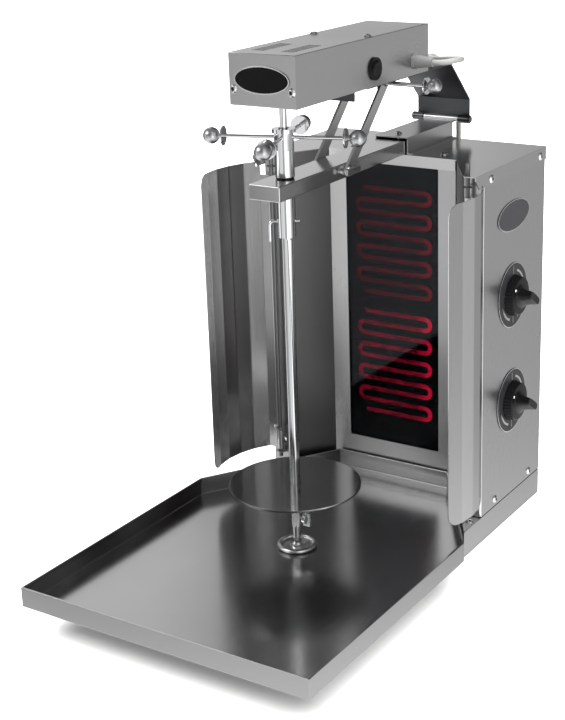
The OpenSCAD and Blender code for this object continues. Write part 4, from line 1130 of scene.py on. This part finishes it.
def set_camera(scene):
    """Stands the camera where the photograph was taken from."""
    azimuth, elevation, roll = (math.radians(a) for a in CAMERA_ANGLES)
    ahead = Vector(
        (
            -math.sin(azimuth) * math.cos(elevation),
            math.cos(azimuth) * math.cos(elevation),
            -math.sin(elevation),
        )
    )
    right = ahead.cross(Vector((0, 0, 1))).normalized()
    up = right.cross(ahead)
    data = bpy.data.cameras.new("Studio camera")
    data.lens, data.sensor_width = CAMERA_LENS, CAMERA_SENSOR
    data.shift_x, data.shift_y = CAMERA_SHIFT
    camera = bpy.data.objects.new("Studio camera", data)
    scene.collection.objects.link(camera)
    turn = camera.matrix_world.to_3x3()
    turn.col[0] = right * math.cos(roll) + up * math.sin(roll)
    turn.col[1] = up * math.cos(roll) - right * math.sin(roll)
    turn.col[2] = -ahead
    camera.matrix_world = turn.to_4x4()
    camera.location = CAMERA_PLACE
    scene.camera = camera
    # Product photographs keep their full contrast, with whites that clip
    scene.view_settings.view_transform = "Standard"


def lay_floor(scene):
    """Lays the pale studio floor."""
    bm = bmesh.new()
    bmesh.ops.create_grid(
        bm, x_segments=1, y_segments=1, size=scene.kebab_sizes.floor_size / 2
    )
    mesh = bpy.data.meshes.new("studio_floor")
    bm.to_mesh(mesh)
    bm.free()
    # Matt painted studio floor: even and pale, with the faintest unevenness
    paint = moulded(
        "Pale matt studio paint", list(scene.kebab_colours.floor),
        rough=0.85, grit_mm=4.0, bump=0.02, fleck=0.01,
    )
    mesh.materials.append(paint)
    floor = bpy.data.objects.new("studio_floor", mesh)
    scene.collection.objects.link(floor)
    # The steel mirrors the studio's dim lower walls, as in a light tent, not the floor
    floor.visible_glossy = False


def hang_lamps(scene):
    """Hangs the soft lamps, and silk over the whole table that whitens the floor."""
    for name, place, size, power, mirrored in SOFT_BOXES:
        data = bpy.data.lights.new(name, "AREA")
        data.shape = "RECTANGLE"
        data.size, data.size_y = size
        data.energy = power
        lamp = bpy.data.objects.new(name, data)
        scene.collection.objects.link(lamp)
        lamp.location = place
        aim = Vector(LAMPS_LOOK_AT) - Vector(place)
        lamp.rotation_euler = aim.to_track_quat("-Z", "Y").to_euler()
        lamp.visible_glossy = mirrored
    data = bpy.data.lights.new("Overhead silk", "SUN")
    data.energy = 9.0
    data.angle = math.radians(100)
    silk = bpy.data.objects.new("Overhead silk", data)
    silk.visible_glossy = False
    silk.location = (0, 0, 3)
    scene.collection.objects.link(silk)


def pitch_tent(scene):
    """Sets the surroundings that the steel mirrors, by bearing and by height."""
    world = bpy.data.worlds.new("Light tent")
    scene.world = world
    world.use_nodes = True
    tree = world.node_tree
    tree.nodes.clear()
    place = add(tree, "TexCoord")
    parts = add(tree, "SeparateXYZ", {0: place.outputs["Generated"]})
    axes = {0: parts.outputs["Y"], 1: parts.outputs["X"]}
    bearing = add(tree, "Math", axes, operation="ARCTAN2")
    round_about = add(tree, "MapRange", {
        "Value": bearing.outputs[0], "From Min": -math.pi, "From Max": math.pi,
    })
    layers = {
        "near_table": (NEAR_TABLE, NEAR_TABLE, NEAR_TABLE, 1.0),
        "roof": (ROOF, ROOF, ROOF, 1.0),
    }
    for name, levels in (("table", TABLE), ("room", ROOM), ("high_room", HIGH_ROOM)):
        stops = [((degrees + 180) / 360, level) for degrees, level in levels]
        ramp = add(tree, "ValToRGB", {"Fac": round_about.outputs[0]}, stops=stops)
        layers[name] = ramp.outputs["Color"]
    for name, start, end, first, second in BLENDS:
        share = add(tree, "MapRange", {
            "Value": parts.outputs["Z"], "From Min": start, "From Max": end,
        })
        both = {0: share.outputs[0], 6: layers[first], 7: layers[second]}
        layers[name] = add(tree, "Mix", both, data_type="RGBA").outputs[2]
    light = add(tree, "Background", {"Color": layers["tent"], "Strength": 1.0})
    add(tree, "OutputWorld", {"Surface": light.outputs[0]})


class KEBAB_OT_stage(bpy.types.Operator):
    """Set the camera, the pale floor and the soft studio light"""

    bl_idname = "kebab.stage"
    bl_label = "Studio Stage"

    def execute(self, context):
        set_camera(context.scene)
        lay_floor(context.scene)
        hang_lamps(context.scene)
        pitch_tent(context.scene)
        return {"FINISHED"}


OPERATORS = (
    KEBAB_OT_stage,
    KEBAB_OT_cables,
    KEBAB_OT_cabinet,
    KEBAB_OT_heater,
    KEBAB_OT_tray,
    KEBAB_OT_wings,
    KEBAB_OT_arm,
    KEBAB_OT_drive,
    KEBAB_OT_spit,
    KEBAB_OT_balls,
    KEBAB_OT_controls,
    KEBAB_OT_badges,
    KEBAB_OT_screws,
)


class KEBAB_PT_panel(bpy.types.Panel):
    """Lists the grill's pieces and the values that shape them"""

    bl_label = "Kebab Grill"
    bl_space_type = "VIEW_3D"
    bl_region_type = "UI"
    bl_category = "Kebab Grill"

    def draw(self, context):
        for group in (context.scene.kebab_sizes, context.scene.kebab_colours):
            box = self.layout.box()
            for name in group.__annotations__:
                box.prop(group, name)
        column = self.layout.column(align=True)
        for operator in OPERATORS:
            column.operator(operator.bl_idname)


CLASSES = (KebabSizes, KebabColours, *OPERATORS, KEBAB_PT_panel)


def register():
    for each in CLASSES:
        bpy.utils.register_class(each)
    bpy.types.Scene.kebab_sizes = bpy.props.PointerProperty(type=KebabSizes)
    bpy.types.Scene.kebab_colours = bpy.props.PointerProperty(type=KebabColours)


def unregister():
    del bpy.types.Scene.kebab_colours
    del bpy.types.Scene.kebab_sizes
    for each in reversed(CLASSES):
        bpy.utils.unregister_class(each)


def main():
    """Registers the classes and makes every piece."""
    register()
    make_materials()
    for operator in OPERATORS:
        group, name = operator.bl_idname.split(".")
        getattr(getattr(bpy.ops, group), name)()
    bpy.context.view_layer.update()


if __name__ == "__main__":
    main()
